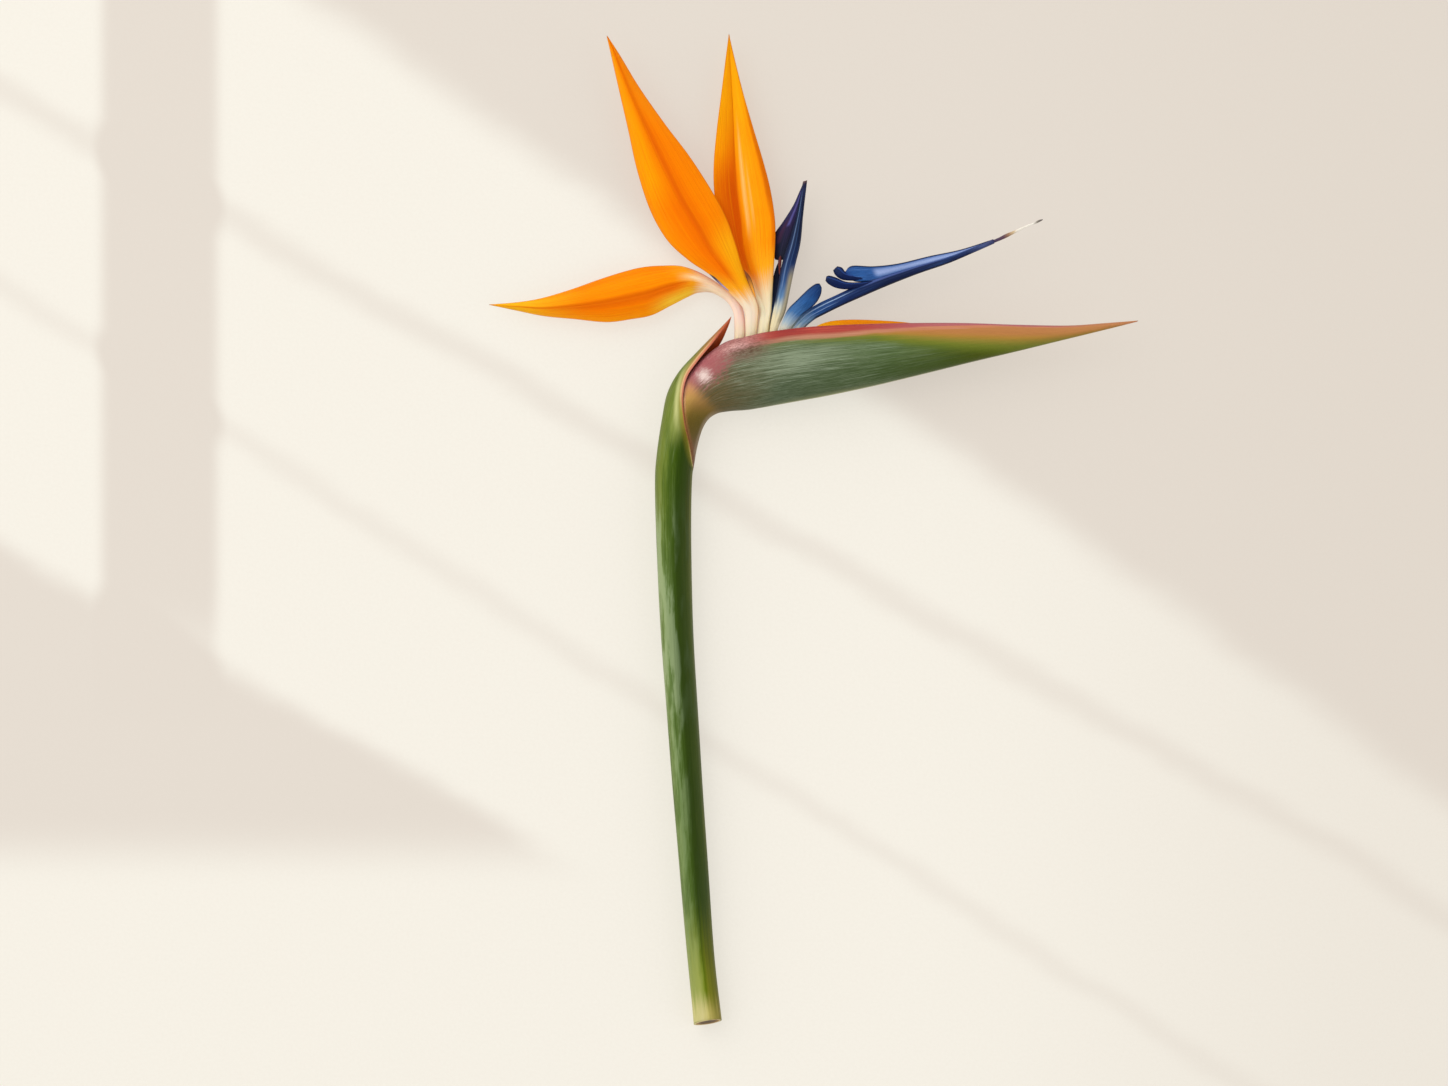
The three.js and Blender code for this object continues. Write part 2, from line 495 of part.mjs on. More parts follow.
const pieces = {
  stem: [shape(stem), finish(0x55712f, 0.5)],
  spathe: [shape(spathe), finish(0x5d7350, 0.55)],
  floret_base_older: [shape(floretBase(baseOlderRows)), creamFinish],
  floret_base_younger: [shape(floretBase(baseYoungerRows)), creamFinish],
  sepal_drooping: [blade(sepalDrooping, 21, 6), orangeFinish],
  sepal_tall_left: [blade(sepalTallLeft, 18, 6), orangeFinish],
  sepal_tall_right: [blade(sepalTallRight, 18, 6), orangeFinish],
  sepal_folded: [blade(sepalFolded, 12, 4), orangeFinish],
  hood_petal_older: [blade(hoodOlder, 8, 4), blueFinish],
  hood_petal_younger: [blade(hoodYounger, 10, 4), blueFinish],
  tongue_upright: [shape(tongueUpright()), blueFinish],
  tongue_forward: [shape(tongueForward()), blueFinish],
  style_forward: [limb(styleRows, { steps: 12, sides: 8 }), finish(0xe9dcc8, 0.6)],
};

const flower = new THREE.Group();
Object.entries(pieces).forEach(([name, [geometry, material]]) => {
  const piece = new THREE.Mesh(geometry, material);
  piece.name = name;
  flower.add(piece);
});

export default flower;
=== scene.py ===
import math

import bmesh
import bpy
import numpy as np
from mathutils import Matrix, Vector


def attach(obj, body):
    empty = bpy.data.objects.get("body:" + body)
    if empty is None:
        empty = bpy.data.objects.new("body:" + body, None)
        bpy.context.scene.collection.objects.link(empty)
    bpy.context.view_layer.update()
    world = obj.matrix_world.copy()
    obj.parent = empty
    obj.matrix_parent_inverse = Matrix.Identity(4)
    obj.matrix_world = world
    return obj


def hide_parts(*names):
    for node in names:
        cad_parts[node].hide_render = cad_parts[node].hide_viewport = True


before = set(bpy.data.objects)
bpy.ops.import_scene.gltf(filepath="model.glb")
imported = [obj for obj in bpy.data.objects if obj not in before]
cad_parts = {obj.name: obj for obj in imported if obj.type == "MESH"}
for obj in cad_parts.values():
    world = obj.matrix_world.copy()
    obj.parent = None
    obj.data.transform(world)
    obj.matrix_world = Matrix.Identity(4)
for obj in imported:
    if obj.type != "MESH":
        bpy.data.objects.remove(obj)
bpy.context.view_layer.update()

# A cut bird of paradise flower that lies on its side. All shapes are in millimetres until they
# become a mesh. X runs along the spathe to its beak, Y up the stem, Z up from the surface.
MM = 0.001
PIVOT_X = -50  # x where the flower's plane crosses the axis of the stem
LIFT = 6.6  # height of the stem's axis at the bend
RISE = 0.055  # climb of the flower's plane for each mm towards the beak
TRIM = 0.1  # depth to which the low points are pressed flat
ARCH = 0.5  # height of the stem's middle over the surface
SHEATH_FLOOR = -8  # y at which the hollow of the sheath begins
GAP = 0.32  # clearance between two pieces that touch
CUT_SLANT = 2.4  # by which the top of the cut end stands back from its bottom
INNER_MARK, CUT_MARK = -1, -2  # distances to the margin that mark an inner skin and the cut face
SHEATH_WALL, SHEATH_EDGE = 1.0, 0.5  # thickness of the sheath, and at its free margin
SPATHE_WALL, SPATHE_EDGE = 1.3, 0.65
SEAT = 67.32  # y at which the sepals and petals stand on a floret's base
TOP = 18.85  # the highest point of the flower
FLOOR_CLEARANCE = 0.01  # height of the lowest point over the surface
LINE_STEPS = 3000  # short straight steps in which the length of a line is measured
WELD = 4e-6  # distance in metres under which two points become one
HULL_STEP = 0.8  # spacing of the rows of the stem and the spathe
THIN_EDGE = 5  # distance from a free margin over which a wall reaches its full thickness
FAR = 30  # distance to the margin that is given where there is none
STEM_COLUMNS, SPATHE_COLUMNS = 97, 113  # points round the stem and the spathe
CUT_RINGS = 10  # rings of points on the cut end
SEPAL_STEP, PETAL_STEP = 0.65, 0.35  # spacing of the rows of the sepals and of the blue petals


# Lines and places

def along(rows, t):
    """A smooth line through rows of numbers, with t from 0 at the first row to 1 at the last."""
    rows = np.asarray(rows, float)
    place = np.clip(t, 0, 1) * (len(rows) - 1)
    i = np.minimum(place.astype(int), len(rows) - 2)
    f = (place - i)[..., None]
    a, b, c = rows[np.maximum(i - 1, 0)], rows[i], rows[i + 1]
    d = rows[np.minimum(i + 2, len(rows) - 1)]
    return b + 0.5 * f * (c - a + f * (2 * a - 5 * b + 4 * c - d + f * (3 * b - a - 3 * c + d)))


def even(points, spacing):
    """Places along a line through the points, about one spacing apart, and the line's length."""
    t = np.linspace(0, 1, LINE_STEPS)
    line = along(points, t)
    length = np.concatenate([[0], np.cumsum(np.linalg.norm(np.diff(line, axis=0), axis=1))])
    count = max(int(length[-1] / spacing), 4)
    return np.interp(np.linspace(0, length[-1], count + 1), length, t), length[-1]


def at(x, y, h):
    """A point of the flower's plane, with its height h over that plane."""
    x, y, h = np.broadcast_arrays(x, y, h)
    return np.stack([x, y, LIFT + RISE * (x - PIVOT_X) + h], -1)


def mix(a, b, share):
    return a + (b - a) * share


def ramp(value, start, end):
    """0 before the start, 1 after the end and smooth between."""
    share = np.clip((value - start) / (end - start), 0, 1)
    return share * share * (3 - 2 * share)


def normals(points, wrap=False):
    """The direction straight out of a grid of points, for its rows and columns."""
    if wrap:
        across = np.roll(points, -1, 1) - np.roll(points, 1, 1)
    else:
        across = np.gradient(points, axis=1)
    out = np.cross(across, np.gradient(points, axis=0))
    size = np.linalg.norm(out, axis=-1, keepdims=True)
    out = out / np.maximum(size, 1e-9)
    out[size[..., 0] < 1e-7] = 0
    return out


def waver(a, b, seed):
    """A slow, uneven swell between -1 and 1 over two coordinates."""
    return (np.sin(1.9 * a + 0.7 * b + seed) + np.sin(-0.8 * a + 1.7 * b + 2.1 * seed)
            + np.sin(0.9 * a + 2.9 * b + 0.6 * seed)) / 3


# Meshes

class Form:
    """Gathers the points and faces of one closed body. Each point has a spot, which the colours
    follow, a grain, which is where it is across and along the piece in mm, and a zone, which says
    how far it is from what it borders on."""

    def __init__(self):
        self.points, self.spots, self.grains, self.zones, self.faces = [], [], [], [], []
        self.count = 0

    def grid(self, points, spots, grains, zones=0.0):
        rows, columns = points.shape[:2]
        for store, values in ((self.points, points), (self.spots, spots), (self.grains, grains),
                              (self.zones, zones)):
            store.append(np.broadcast_to(values, points.shape).reshape(-1, 3))
        ids = np.arange(rows * columns).reshape(rows, columns) + self.count
        self.count += rows * columns
        return ids

    def sheet(self, ids, wrap=False):
        if wrap:
            ids = np.concatenate([ids, ids[:, :1]], 1)
        corners = (ids[:-1, :-1], ids[:-1, 1:], ids[1:, 1:], ids[1:, :-1])
        self.faces += np.stack(corners, -1).reshape(-1, 4).tolist()

    def cap(self, ring, rings=1):
        """Closes a ring of points with smaller rings and a fan."""
        points, spots, grains, zones = (np.concatenate(store)[ring] for store in
                                        (self.points, self.spots, self.grains, self.zones))
        shares = np.linspace(0, 1, rings + 2)[1:, None, None]
        ids = self.grid(mix(points[None], points.mean(0), shares), spots[None] + 0 * shares,
                        mix(grains[None], grains.mean(0), shares), zones[None] + 0 * shares)
        self.sheet(np.concatenate([ring[None], ids]), wrap=True)
        return ids

    def build(self, name):
        points = np.concatenate(self.points).copy()
        points[:, 2] = np.clip(points[:, 2], FLOOR_CLEARANCE, TOP)
        mesh = bpy.data.meshes.new(name)
        mesh.from_pydata((points * MM).tolist(), [], self.faces)
        for title, values in (("spot", self.spots), ("grain", self.grains), ("zone", self.zones)):
            layer = mesh.attributes.new(title, "FLOAT_VECTOR", "POINT")
            layer.data.foreach_set("vector", np.concatenate(values).astype(np.float32).ravel())
        work = bmesh.new()
        work.from_mesh(mesh)
        bmesh.ops.remove_doubles(work, verts=work.verts, dist=WELD)
        bmesh.ops.recalc_face_normals(work, faces=work.faces)
        for face in work.faces:
            face.smooth = True
        work.to_mesh(mesh)
        work.free()
        piece = bpy.data.objects.new(name, mesh)
        bpy.context.scene.collection.objects.link(piece)
        return piece


def place(piece, material, slot, *nodes):
    """Gives a piece its material and its body, and hides the CAD nodes that it stands for."""
    piece.data.materials.clear()
    piece.data.materials.append(material)
    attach(piece, "root")
    if nodes:
        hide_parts(*nodes)


def away(line, centre, distance):
    """Moves each point of a line away from its centre."""
    out = line - centre
    return line + out / np.linalg.norm(out + 1e-9, axis=-1, keepdims=True) * distance


def blade(form, spacing, columns, crease_width=0.05, groove=0.0, vein=0.03, veins=11, swell=0.15,
          crown=0.0, spread=0.0, seed=0.0):
    """A closed, thin blade with a rounded crease, rounded margins and fine veins along it. A row of
    its form is a point of the left margin, the crease and the right margin, and the thickness; in a
    row of four numbers the three points are one. Its spot is (place along, place across from -1 to
    1, distance to the margin in mm)."""
    form = np.array([row[:3] * 3 + row[3:] if len(row) == 4 else row for row in form], float)
    t, length = even(form[:, 3:6], spacing)
    t = t[:, None]
    s = np.linspace(-1, 1, columns + 1)[None]
    u = 0.5 * s + 0.5 * np.sin(math.pi * s / 2)  # closer together by the margins
    soft = np.sqrt(u * u + crease_width ** 2)
    left, crease, right, thick = np.split(along(form, t[:, 0]), (3, 6, 9), axis=1)
    left, crease, right = left[:, None], crease[:, None], right[:, None]

    # The claw is wider by the spread, and the crease is rounded
    wider = spread * ramp(t, 0.36, 0.2)[..., None]
    left, right = away(left, crease, wider), away(right, crease, wider)
    to_left, to_right = ((soft - u) / 2)[..., None], ((soft + u) / 2)[..., None]
    flat = crease + to_left * (left - crease) + to_right * (right - crease)

    # The middle of the blade is arched and sways a little
    half_width = np.linalg.norm(np.where((u < 0)[..., None], left, right) - crease, axis=-1)
    widest = half_width.max()
    shape = np.minimum(half_width / widest * 1.5, 1)
    arch = crown * np.sin(math.pi * np.abs(u)) * np.sin(math.pi * t)
    sway = swell * waver(t * length / 14, u * 2.2, seed) * shape
    middle = at(flat[..., 0], flat[..., 1], flat[..., 2] + arch + sway)
    out = normals(middle)
    out[-1] = out[-2]

    # It is thick at the claw and thin at its rounded margins, with veins and a groove on its crease
    power = 2 + 4 * ramp(t, 0.12, 0.3)
    rim = np.sqrt(np.clip(1 - np.abs(u) ** power, 0, 1))
    thin = mix(1, 0.55, ramp(np.abs(u), 0.3, 1) * ramp(t, 0.12, 0.35))
    end = np.sqrt(np.clip(1 - t ** 60, 0, 1))
    half = thick / 2 * rim * thin * end
    cycles = np.cos(2 * math.pi * veins * u + 2.2 * np.sin(3 * u + seed))
    cycles = cycles + 0.5 * np.cos(17 * math.pi * u + seed)
    relief = vein * cycles * shape * rim * end * ramp(t, 0.05, 0.25)
    relief = relief - groove * np.exp(-(u / 0.07) ** 2) * shape * ramp(t, 0.25, 0.45) * ramp(t, 1, 0.85)

    body = Form()
    upper = middle + out * (half + relief)[..., None]
    lower = middle - out * (half + 0.5 * relief)[..., None]
    spot = np.stack(np.broadcast_arrays(t, u, (1 - np.abs(u)) * half_width), -1)
    grain = np.stack(np.broadcast_arrays(u * widest, 0 * u, t * length), -1)
    ring = np.concatenate([upper, lower[:, -2:0:-1]], 1)
    ids = body.grid(ring, np.concatenate([spot, spot[:, -2:0:-1]], 1),
                    np.concatenate([grain, grain[:, -2:0:-1]], 1))
    body.sheet(ids, wrap=True)
    body.cap(ids[0])
    return body


def section(rows, t, angle, inset=0.0):
    """A point on a limb's section: angle 0 is its first edge, pi its second."""
    ax, ay, bx, by, h, depth, taper = np.moveaxis(along(rows, t), -1, 0)
    v = (1 - np.cos(angle)) / 2
    share = inset / np.maximum(np.hypot(bx - ax, by - ay), 1e-6)
    across = share + (1 - 2 * share) * v
    blunt = np.where(v < 0.5, 1 - 0.3 * taper, 1 - 1.1 * taper)
    flank = np.abs(np.sin(angle)) ** blunt * (1 - taper * v) / (1 - 0.42 * taper)
    side = np.sign(np.sin(angle))
    height = h + np.maximum(depth - inset, 0.02) * side * flank
    return at(mix(ax, bx, across), mix(ay, by, across), height)


def whole(rows):
    """Rows of a limb with the taper written out. A row is the x and y of its first edge and of its
    second, its height, half its depth and how much slimmer the second edge is."""
    return [row + [0] * (7 - len(row)) for row in rows]


def centres(rows):
    """The middle of each row of a limb: x, y and height."""
    rows = np.array(rows)
    return (rows[:, [0, 1, 4]] + rows[:, [2, 3, 4]]) / 2


def marks(t, angle, third, radius, length):
    """The spots and the grains of a limb; the third number of a spot is given."""
    across, out = np.cos(angle), np.sin(angle)
    return (np.stack([t, (1 - across) / 2, third], -1),
            np.stack([-radius * across, radius * out, t * length], -1))


def limb(rows, spacing, sides, relief=None):
    """A closed round limb. Its spot is (place along, 0 at the first edge to 1 at the second,
    height of the flank from -1 to 1)."""
    rows = whole(rows)
    t, length = even(centres(rows), spacing)
    t = t[:, None]
    angle = (np.arange(sides) * 2 * math.pi / sides)[None] + 0 * t
    t = t + 0 * angle
    points = section(rows, t, angle)
    if relief:
        points = points + normals(points, wrap=True) * relief(t, angle)[..., None]
    body = Form()
    ids = body.grid(points, *marks(t, angle, np.sin(angle), along(rows, t)[..., 5], length))
    body.sheet(ids, wrap=True)
    body.cap(ids[0])
    body.cap(ids[-1])
    return body


def edge_distance(points):
    """For each row of a grid, the distance along it from every point to the row's nearer end."""
    steps = np.linalg.norm(np.diff(points, axis=1), axis=-1)
    run = np.concatenate([np.zeros((len(points), 1)), np.cumsum(steps, 1)], 1)
    return np.minimum(run, run[:, -1:] - run)


def husk(body, outer, inner, spots, grains, zones, first, last):
    """Adds a shell to the body: an outer skin whose two long margins meet where it is closed, an
    inner skin from row first to row last, and rolled rims between the two."""
    outer_ids = body.grid(outer, spots, grains, zones)
    body.sheet(outer_ids)
    inner_spots = spots.copy()
    inner_spots[..., 2] = INNER_MARK
    inner_ids = body.grid(inner, inner_spots, grains, zones)[first:last + 1]
    body.sheet(inner_ids)
    spread = np.linalg.norm(outer[:, 0] - outer[:, -1], axis=-1)
    for column, beside in ((0, 1), (-1, -2)):
        a, b = outer[:, column], inner[:, column]
        wall = np.linalg.norm(a - b, axis=-1)
        outward = (a - outer[:, beside]) + (b - inner[:, beside])
        outward /= np.maximum(np.linalg.norm(outward, axis=-1, keepdims=True), 1e-9)
        strips = [outer_ids[first:last + 1, column]]
        for share in (0.25, 0.5, 0.75):
            bulge = 0.35 * np.minimum(wall, spread) * math.sin(math.pi * share)
            middle = mix(a, b, share) + outward * bulge[:, None]
            strip = body.grid(middle[:, None], *(part[:, [column]] for part in (spots, grains, zones)))
            strips.append(strip[first:last + 1, 0])
        strips.append(inner_ids[:, column])
        body.sheet(np.stack(strips, 1))
    return outer_ids, inner_ids


# Materials

# Colours of the skins' gloss: a waxy leaf, an orange sepal and a blue petal
LEAF_GLOSS = (0.75, 1.0, 0.35)
ORANGE_GLOSS = (1.0, 0.6, 0.1)
BLUE_GLOSS = (0.45, 0.65, 1.0)


def tint(code):
    """A colour from its six hex digits, as linear light."""
    values = [int(code[i:i + 2], 16) / 255 for i in (0, 2, 4)]
    return [v / 12.92 if v <= 0.04045 else ((v + 0.055) / 1.055) ** 2.4 for v in values] + [1]


def worked(operation, turned=False):
    """A method of Value that does one operation, with its two numbers turned round if asked."""
    def method(self, other=0.0):
        pair = (other, self) if turned else (self, other)
        return self.finish.math(operation, *pair)
    return method


class Value:
    """A number that a material's nodes work out at each point of a surface."""

    __add__, __radd__ = worked("ADD"), worked("ADD", True)
    __sub__, __rsub__ = worked("SUBTRACT"), worked("SUBTRACT", True)
    __mul__, __truediv__, __abs__ = worked("MULTIPLY"), worked("DIVIDE"), worked("ABSOLUTE")

    def __init__(self, finish, socket):
        self.finish, self.socket = finish, socket

    def slide(self, start, end, low=0.0, high=1.0, kind="LINEAR"):
        """A straight change from low at the start to high at the end, and level past them."""
        node = self.finish.node(
            "ShaderNodeMapRange", ("Value", self), ("From Min", start), ("From Max", end),
            ("To Min", low), ("To Max", high), interpolation_type=kind)
        return Value(self.finish, node.outputs[0])

    def ease(self, start, end, low=0.0, high=1.0):
        """The same change, but smooth at both of its ends."""
        return self.slide(start, end, low, high, "SMOOTHSTEP")

    def band(self, middle, width):
        """1 at the middle, fading to 0 at a width from it."""
        return abs(self - middle).ease(0, width, 1, 0)


class Finish:
    """A material whose colour and bump are worked out by nodes."""

    def __init__(self, name, specular, gloss=(1.0, 1.0, 1.0)):
        self.material = bpy.data.materials.new(name)
        self.material.use_nodes = True
        self.tree = self.material.node_tree
        self.shader = self.tree.nodes["Principled BSDF"]
        self.set("Specular IOR Level", specular)
        self.set("Specular Tint", (*gloss, 1))
        self.t, self.u, self.edge = self.split(self.attribute("spot"))
        self.grain = self.attribute("grain")
        spread = self.node("ShaderNodeTexCoord").outputs["Object"]
        self.place = self.node("ShaderNodeVectorMath", (0, spread), ("Scale", 1 / MM),
                               operation="SCALE").outputs[0]
        self.x, self.y = self.split(self.place)[:2]

    def set(self, socket, value):
        self.feed(self.shader, socket, value)

    def feed(self, node, socket, value):
        """Gives a socket of a node a number, a colour or what other nodes work out."""
        if isinstance(value, Value):
            value = value.socket
        if isinstance(value, bpy.types.NodeSocket):
            self.tree.links.new(value, node.inputs[socket])
        else:
            node.inputs[socket].default_value = value

    def node(self, kind, *feeds, **settings):
        node = self.tree.nodes.new(kind)
        for key, value in settings.items():
            setattr(node, key, value)
        for socket, value in feeds:
            self.feed(node, socket, value)
        return node

    def attribute(self, name):
        return self.node("ShaderNodeAttribute", attribute_name=name).outputs["Vector"]

    def split(self, vector):
        return [Value(self, part) for part in self.node("ShaderNodeSeparateXYZ", (0, vector)).outputs]

    def math(self, operation, a, b=0.0):
        return Value(self, self.node("ShaderNodeMath", (0, a), (1, b), operation=operation).outputs[0])

    def hypot(self, a, b):
        return self.math("SQRT", a * a + b * b)

    def noise(self, vector, scale, detail, roughness=0.55):
        """Noise between 0 and 1; scale is its fineness in each direction, per mm."""
        laid = self.node("ShaderNodeVectorMath", (0, vector), (1, scale), operation="MULTIPLY").outputs[0]
        node = self.node("ShaderNodeTexNoise", ("Vector", laid), ("Scale", 1.0), ("Detail", detail),
                         ("Roughness", roughness))
        return Value(self, node.outputs["Fac"])

    def fibre(self, across, lengthwise, detail, roughness=0.55):
        """Noise that is drawn out along the piece."""
        return self.noise(self.grain, (across, across, lengthwise), detail, roughness)

    def blend(self, share, a, b):
        """A mix of two colours, either of which may be six hex digits."""
        a, b = (tint(colour) if isinstance(colour, str) else colour for colour in (a, b))
        return self.node("ShaderNodeMix", (0, share), (6, a), (7, b), data_type="RGBA").outputs[2]

    def coat(self, colour, layers):
        """A colour under layers, each a share and a colour."""
        for share, layer in layers:
            colour = self.blend(share, colour, layer)
        return colour

    def stripes(self, colour, u, lines, rise, fall):
        """A colour under lines along the piece, each (across, start, end, width, colour, share)."""
        layers = []
        for across, start, end, width, code, share in lines:
            length = self.t.ease(start, start + rise) * self.t.ease(end, end - fall)
            layers.append((u.band(across, width) * length * share, code))
        return self.coat(colour, layers)

    def colours(self, value, stops):
        """A smooth run of colours; each stop is its place and its six hex digits."""
        stops = [stop.split() for stop in stops.split(", ")]
        node = self.node("ShaderNodeValToRGB", ("Fac", value))
        points = node.color_ramp.elements
        while len(points) < len(stops):
            points.new(0.5)
        for point, (position, code) in zip(points, stops):
            point.position = float(position)
            point.color = tint(code)
        return node.outputs["Color"]

    def finish(self, colour, height, depth, roughness, subsurface=0.0):
        """Joins the colour and the bump, whose depth is in mm, to the shader."""
        self.set("Base Color", colour)
        bump = self.node("ShaderNodeBump", ("Height", height), ("Distance", depth * MM), ("Strength", 1.0))
        self.set("Normal", bump.outputs[0])
        self.set("Roughness", roughness)
        if subsurface:
            self.set("Subsurface Weight", subsurface)
            self.set("Subsurface Radius", (1.0, 0.45, 0.15))
            self.set("Subsurface Scale", 1.5 * MM)
        return self.material


# The stem with its sheath

def whole_stem():
    """Rows of the scape, which rests on the surface, and of the sheath."""
    scape = []
    for ax, ay, bx, by, radius, arch in [
        [-42.8, -179.3, -32.7, -177.8, 5.05, 0],
        [-45.0, -155, -35.2, -155, 5.05, 0.5],
        [-48.1, -120, -37.7, -120, 5.2, 0.9],
        [-51.4, -80, -40.3, -80, 5.55, 1],
        [-54.4, -40, -42.7, -40, 5.85, 0.8],
        [-56.1, SHEATH_FLOOR, -43.6, SHEATH_FLOOR, 6.28, 0.35],
    ]:
        climb = RISE * ((ax + bx) / 2 - PIVOT_X)
        scape.append([ax, ay, bx, by, radius + ARCH * arch - TRIM - LIFT - climb, radius])
    sheath = [
        [-56.7, 16.7, -43.4, 16.7, 0, 6.65],
        [-56.0, 28, -42.3, 26, 0, 6.8],
        [-54.2, 40.5, -40.4, 33.6, 0, 6.9],
        [-52.2, 49.7, -38.3, 38.4, 0, 6.9],
        [-48.1, 57.2, -35.4, 45.2, 0, 6.7],
        [-41.6, 64.3, -31.0, 54, 0, 5.9],
        [-35.2, 70.8, -28.4, 64.5, 0, 4.2],
        [-31.4, 74.7, -28.0, 72, 0, 2.0],
        [-29.3, 77.1, -29.0, 76.8, 0, 0.3],
    ]
    return whole(scape + sheath)


STEM = whole_stem()

# The margin of the sheath, on the side that the camera sees and on the far side.
FRONT_MARGIN = [[-42.3, 17.5], [-43.9, 29.5], [-45.9, 38.5], [-46.8, 47.7], [-45.4, 55.2],
                [-41.2, 61.6], [-35.6, 68.4], [-29.2, 77.2]]
BACK_MARGIN = [[-42.3, 17.5], [-43.6, 29.5], [-44.8, 38.5], [-44.6, 47.7], [-42.2, 55.2],
               [-37.8, 61.6], [-32.9, 68.4], [-29.2, 77.2]]


def past_margin(margin, x, y):
    """How far a point is past the margin to the right, in mm; negative on the sheath's side."""
    line = along(margin, np.linspace(0, 1, 400))
    beyond = x - np.interp(y, line[:, 1], line[:, 0])
    return np.where(y < line[0, 1], -1.0, beyond)


def margin_angle(t, margin):
    """The angle at which the stem's section at each t meets the margin, pi where it doesn't."""
    v = np.linspace(0, 1, LINE_STEPS)[None]
    ax, ay, bx, by = (column[:, None] for column in along(STEM, t).T[:4])
    beyond = past_margin(margin, mix(ax, bx, v), mix(ay, by, v)) > 0
    met = np.where(beyond.any(1), v[0, beyond.argmax(1)], 1.0)
    return np.arccos(1 - 2 * met)


def make_stem():
    t, length = even(centres(STEM)[:, :2], HULL_STEP)
    front, back = margin_angle(t, FRONT_MARGIN), margin_angle(t, BACK_MARGIN)
    kept = np.flatnonzero(np.minimum(front, back) > 0.005)
    t, front, back = t[kept], front[kept], back[kept]
    s = np.linspace(-1, 1, STEM_COLUMNS)[None]
    angle = np.where(s < 0, s * back[:, None], s * front[:, None])
    t = t[:, None] + 0 * angle
    outer = section(STEM, t, angle)
    edge = edge_distance(outer)
    closed = (front > math.pi - 1e-6) & (back > math.pi - 1e-6)
    edge[closed] = FAR
    wall = mix(SHEATH_EDGE, SHEATH_WALL, ramp(edge, 0, THIN_EDGE))
    wall = np.minimum(wall, 0.35 * along(STEM, t)[..., 5])
    inner = section(STEM, t, angle, wall)
    y = outer[..., 1]
    y += CUT_SLANT * ramp(y, -150, -178) * outer[..., 2] / 10
    ribs = 0.035 * np.cos(34 * angle + 1.5 * np.sin(y / 37)) + 0.02 * np.cos(61 * angle - y / 50)
    lumps = 0.09 * waver(y / 16, 2 * np.cos(angle), 1.3)
    outer = outer + normals(outer) * -(ribs + lumps)[..., None] * ramp(edge, 0, 1.5)[..., None]
    first = int(np.argmax(~closed)) - 8  # the hollow begins eight rows below the opening
    last = len(t) - 1
    spots, grains = marks(t, angle, edge, 6, length)

    body = Form()
    outer_ids, inner_ids = husk(body, outer, inner, spots, grains, 0 * spots, first, last)
    body.cap(outer_ids[0, :-1], CUT_RINGS)
    # The cut face is hollow in its middle and rough by its rim
    inward = np.repeat(np.linspace(0, 1, CUT_RINGS + 2)[1:], STEM_COLUMNS - 1)
    marked = body.spots[-1].copy()
    marked[:, 2] = CUT_MARK - inward
    body.spots[-1] = marked
    dents = body.points[-1].copy()
    rough = 0.12 * waver(dents[:, 0] * 1.7, dents[:, 2] * 1.7, 4.0) * ramp(inward, 0, 0.2)
    dents[:, 1] += 0.35 * ramp(inward, 0.1, 0.9) + rough
    body.points[-1] = dents
    body.cap(inner_ids[0, :-1])
    body.sheet(np.concatenate([outer_ids[-1:], inner_ids[-1:]]))
    return body.build("stem_and_sheath")


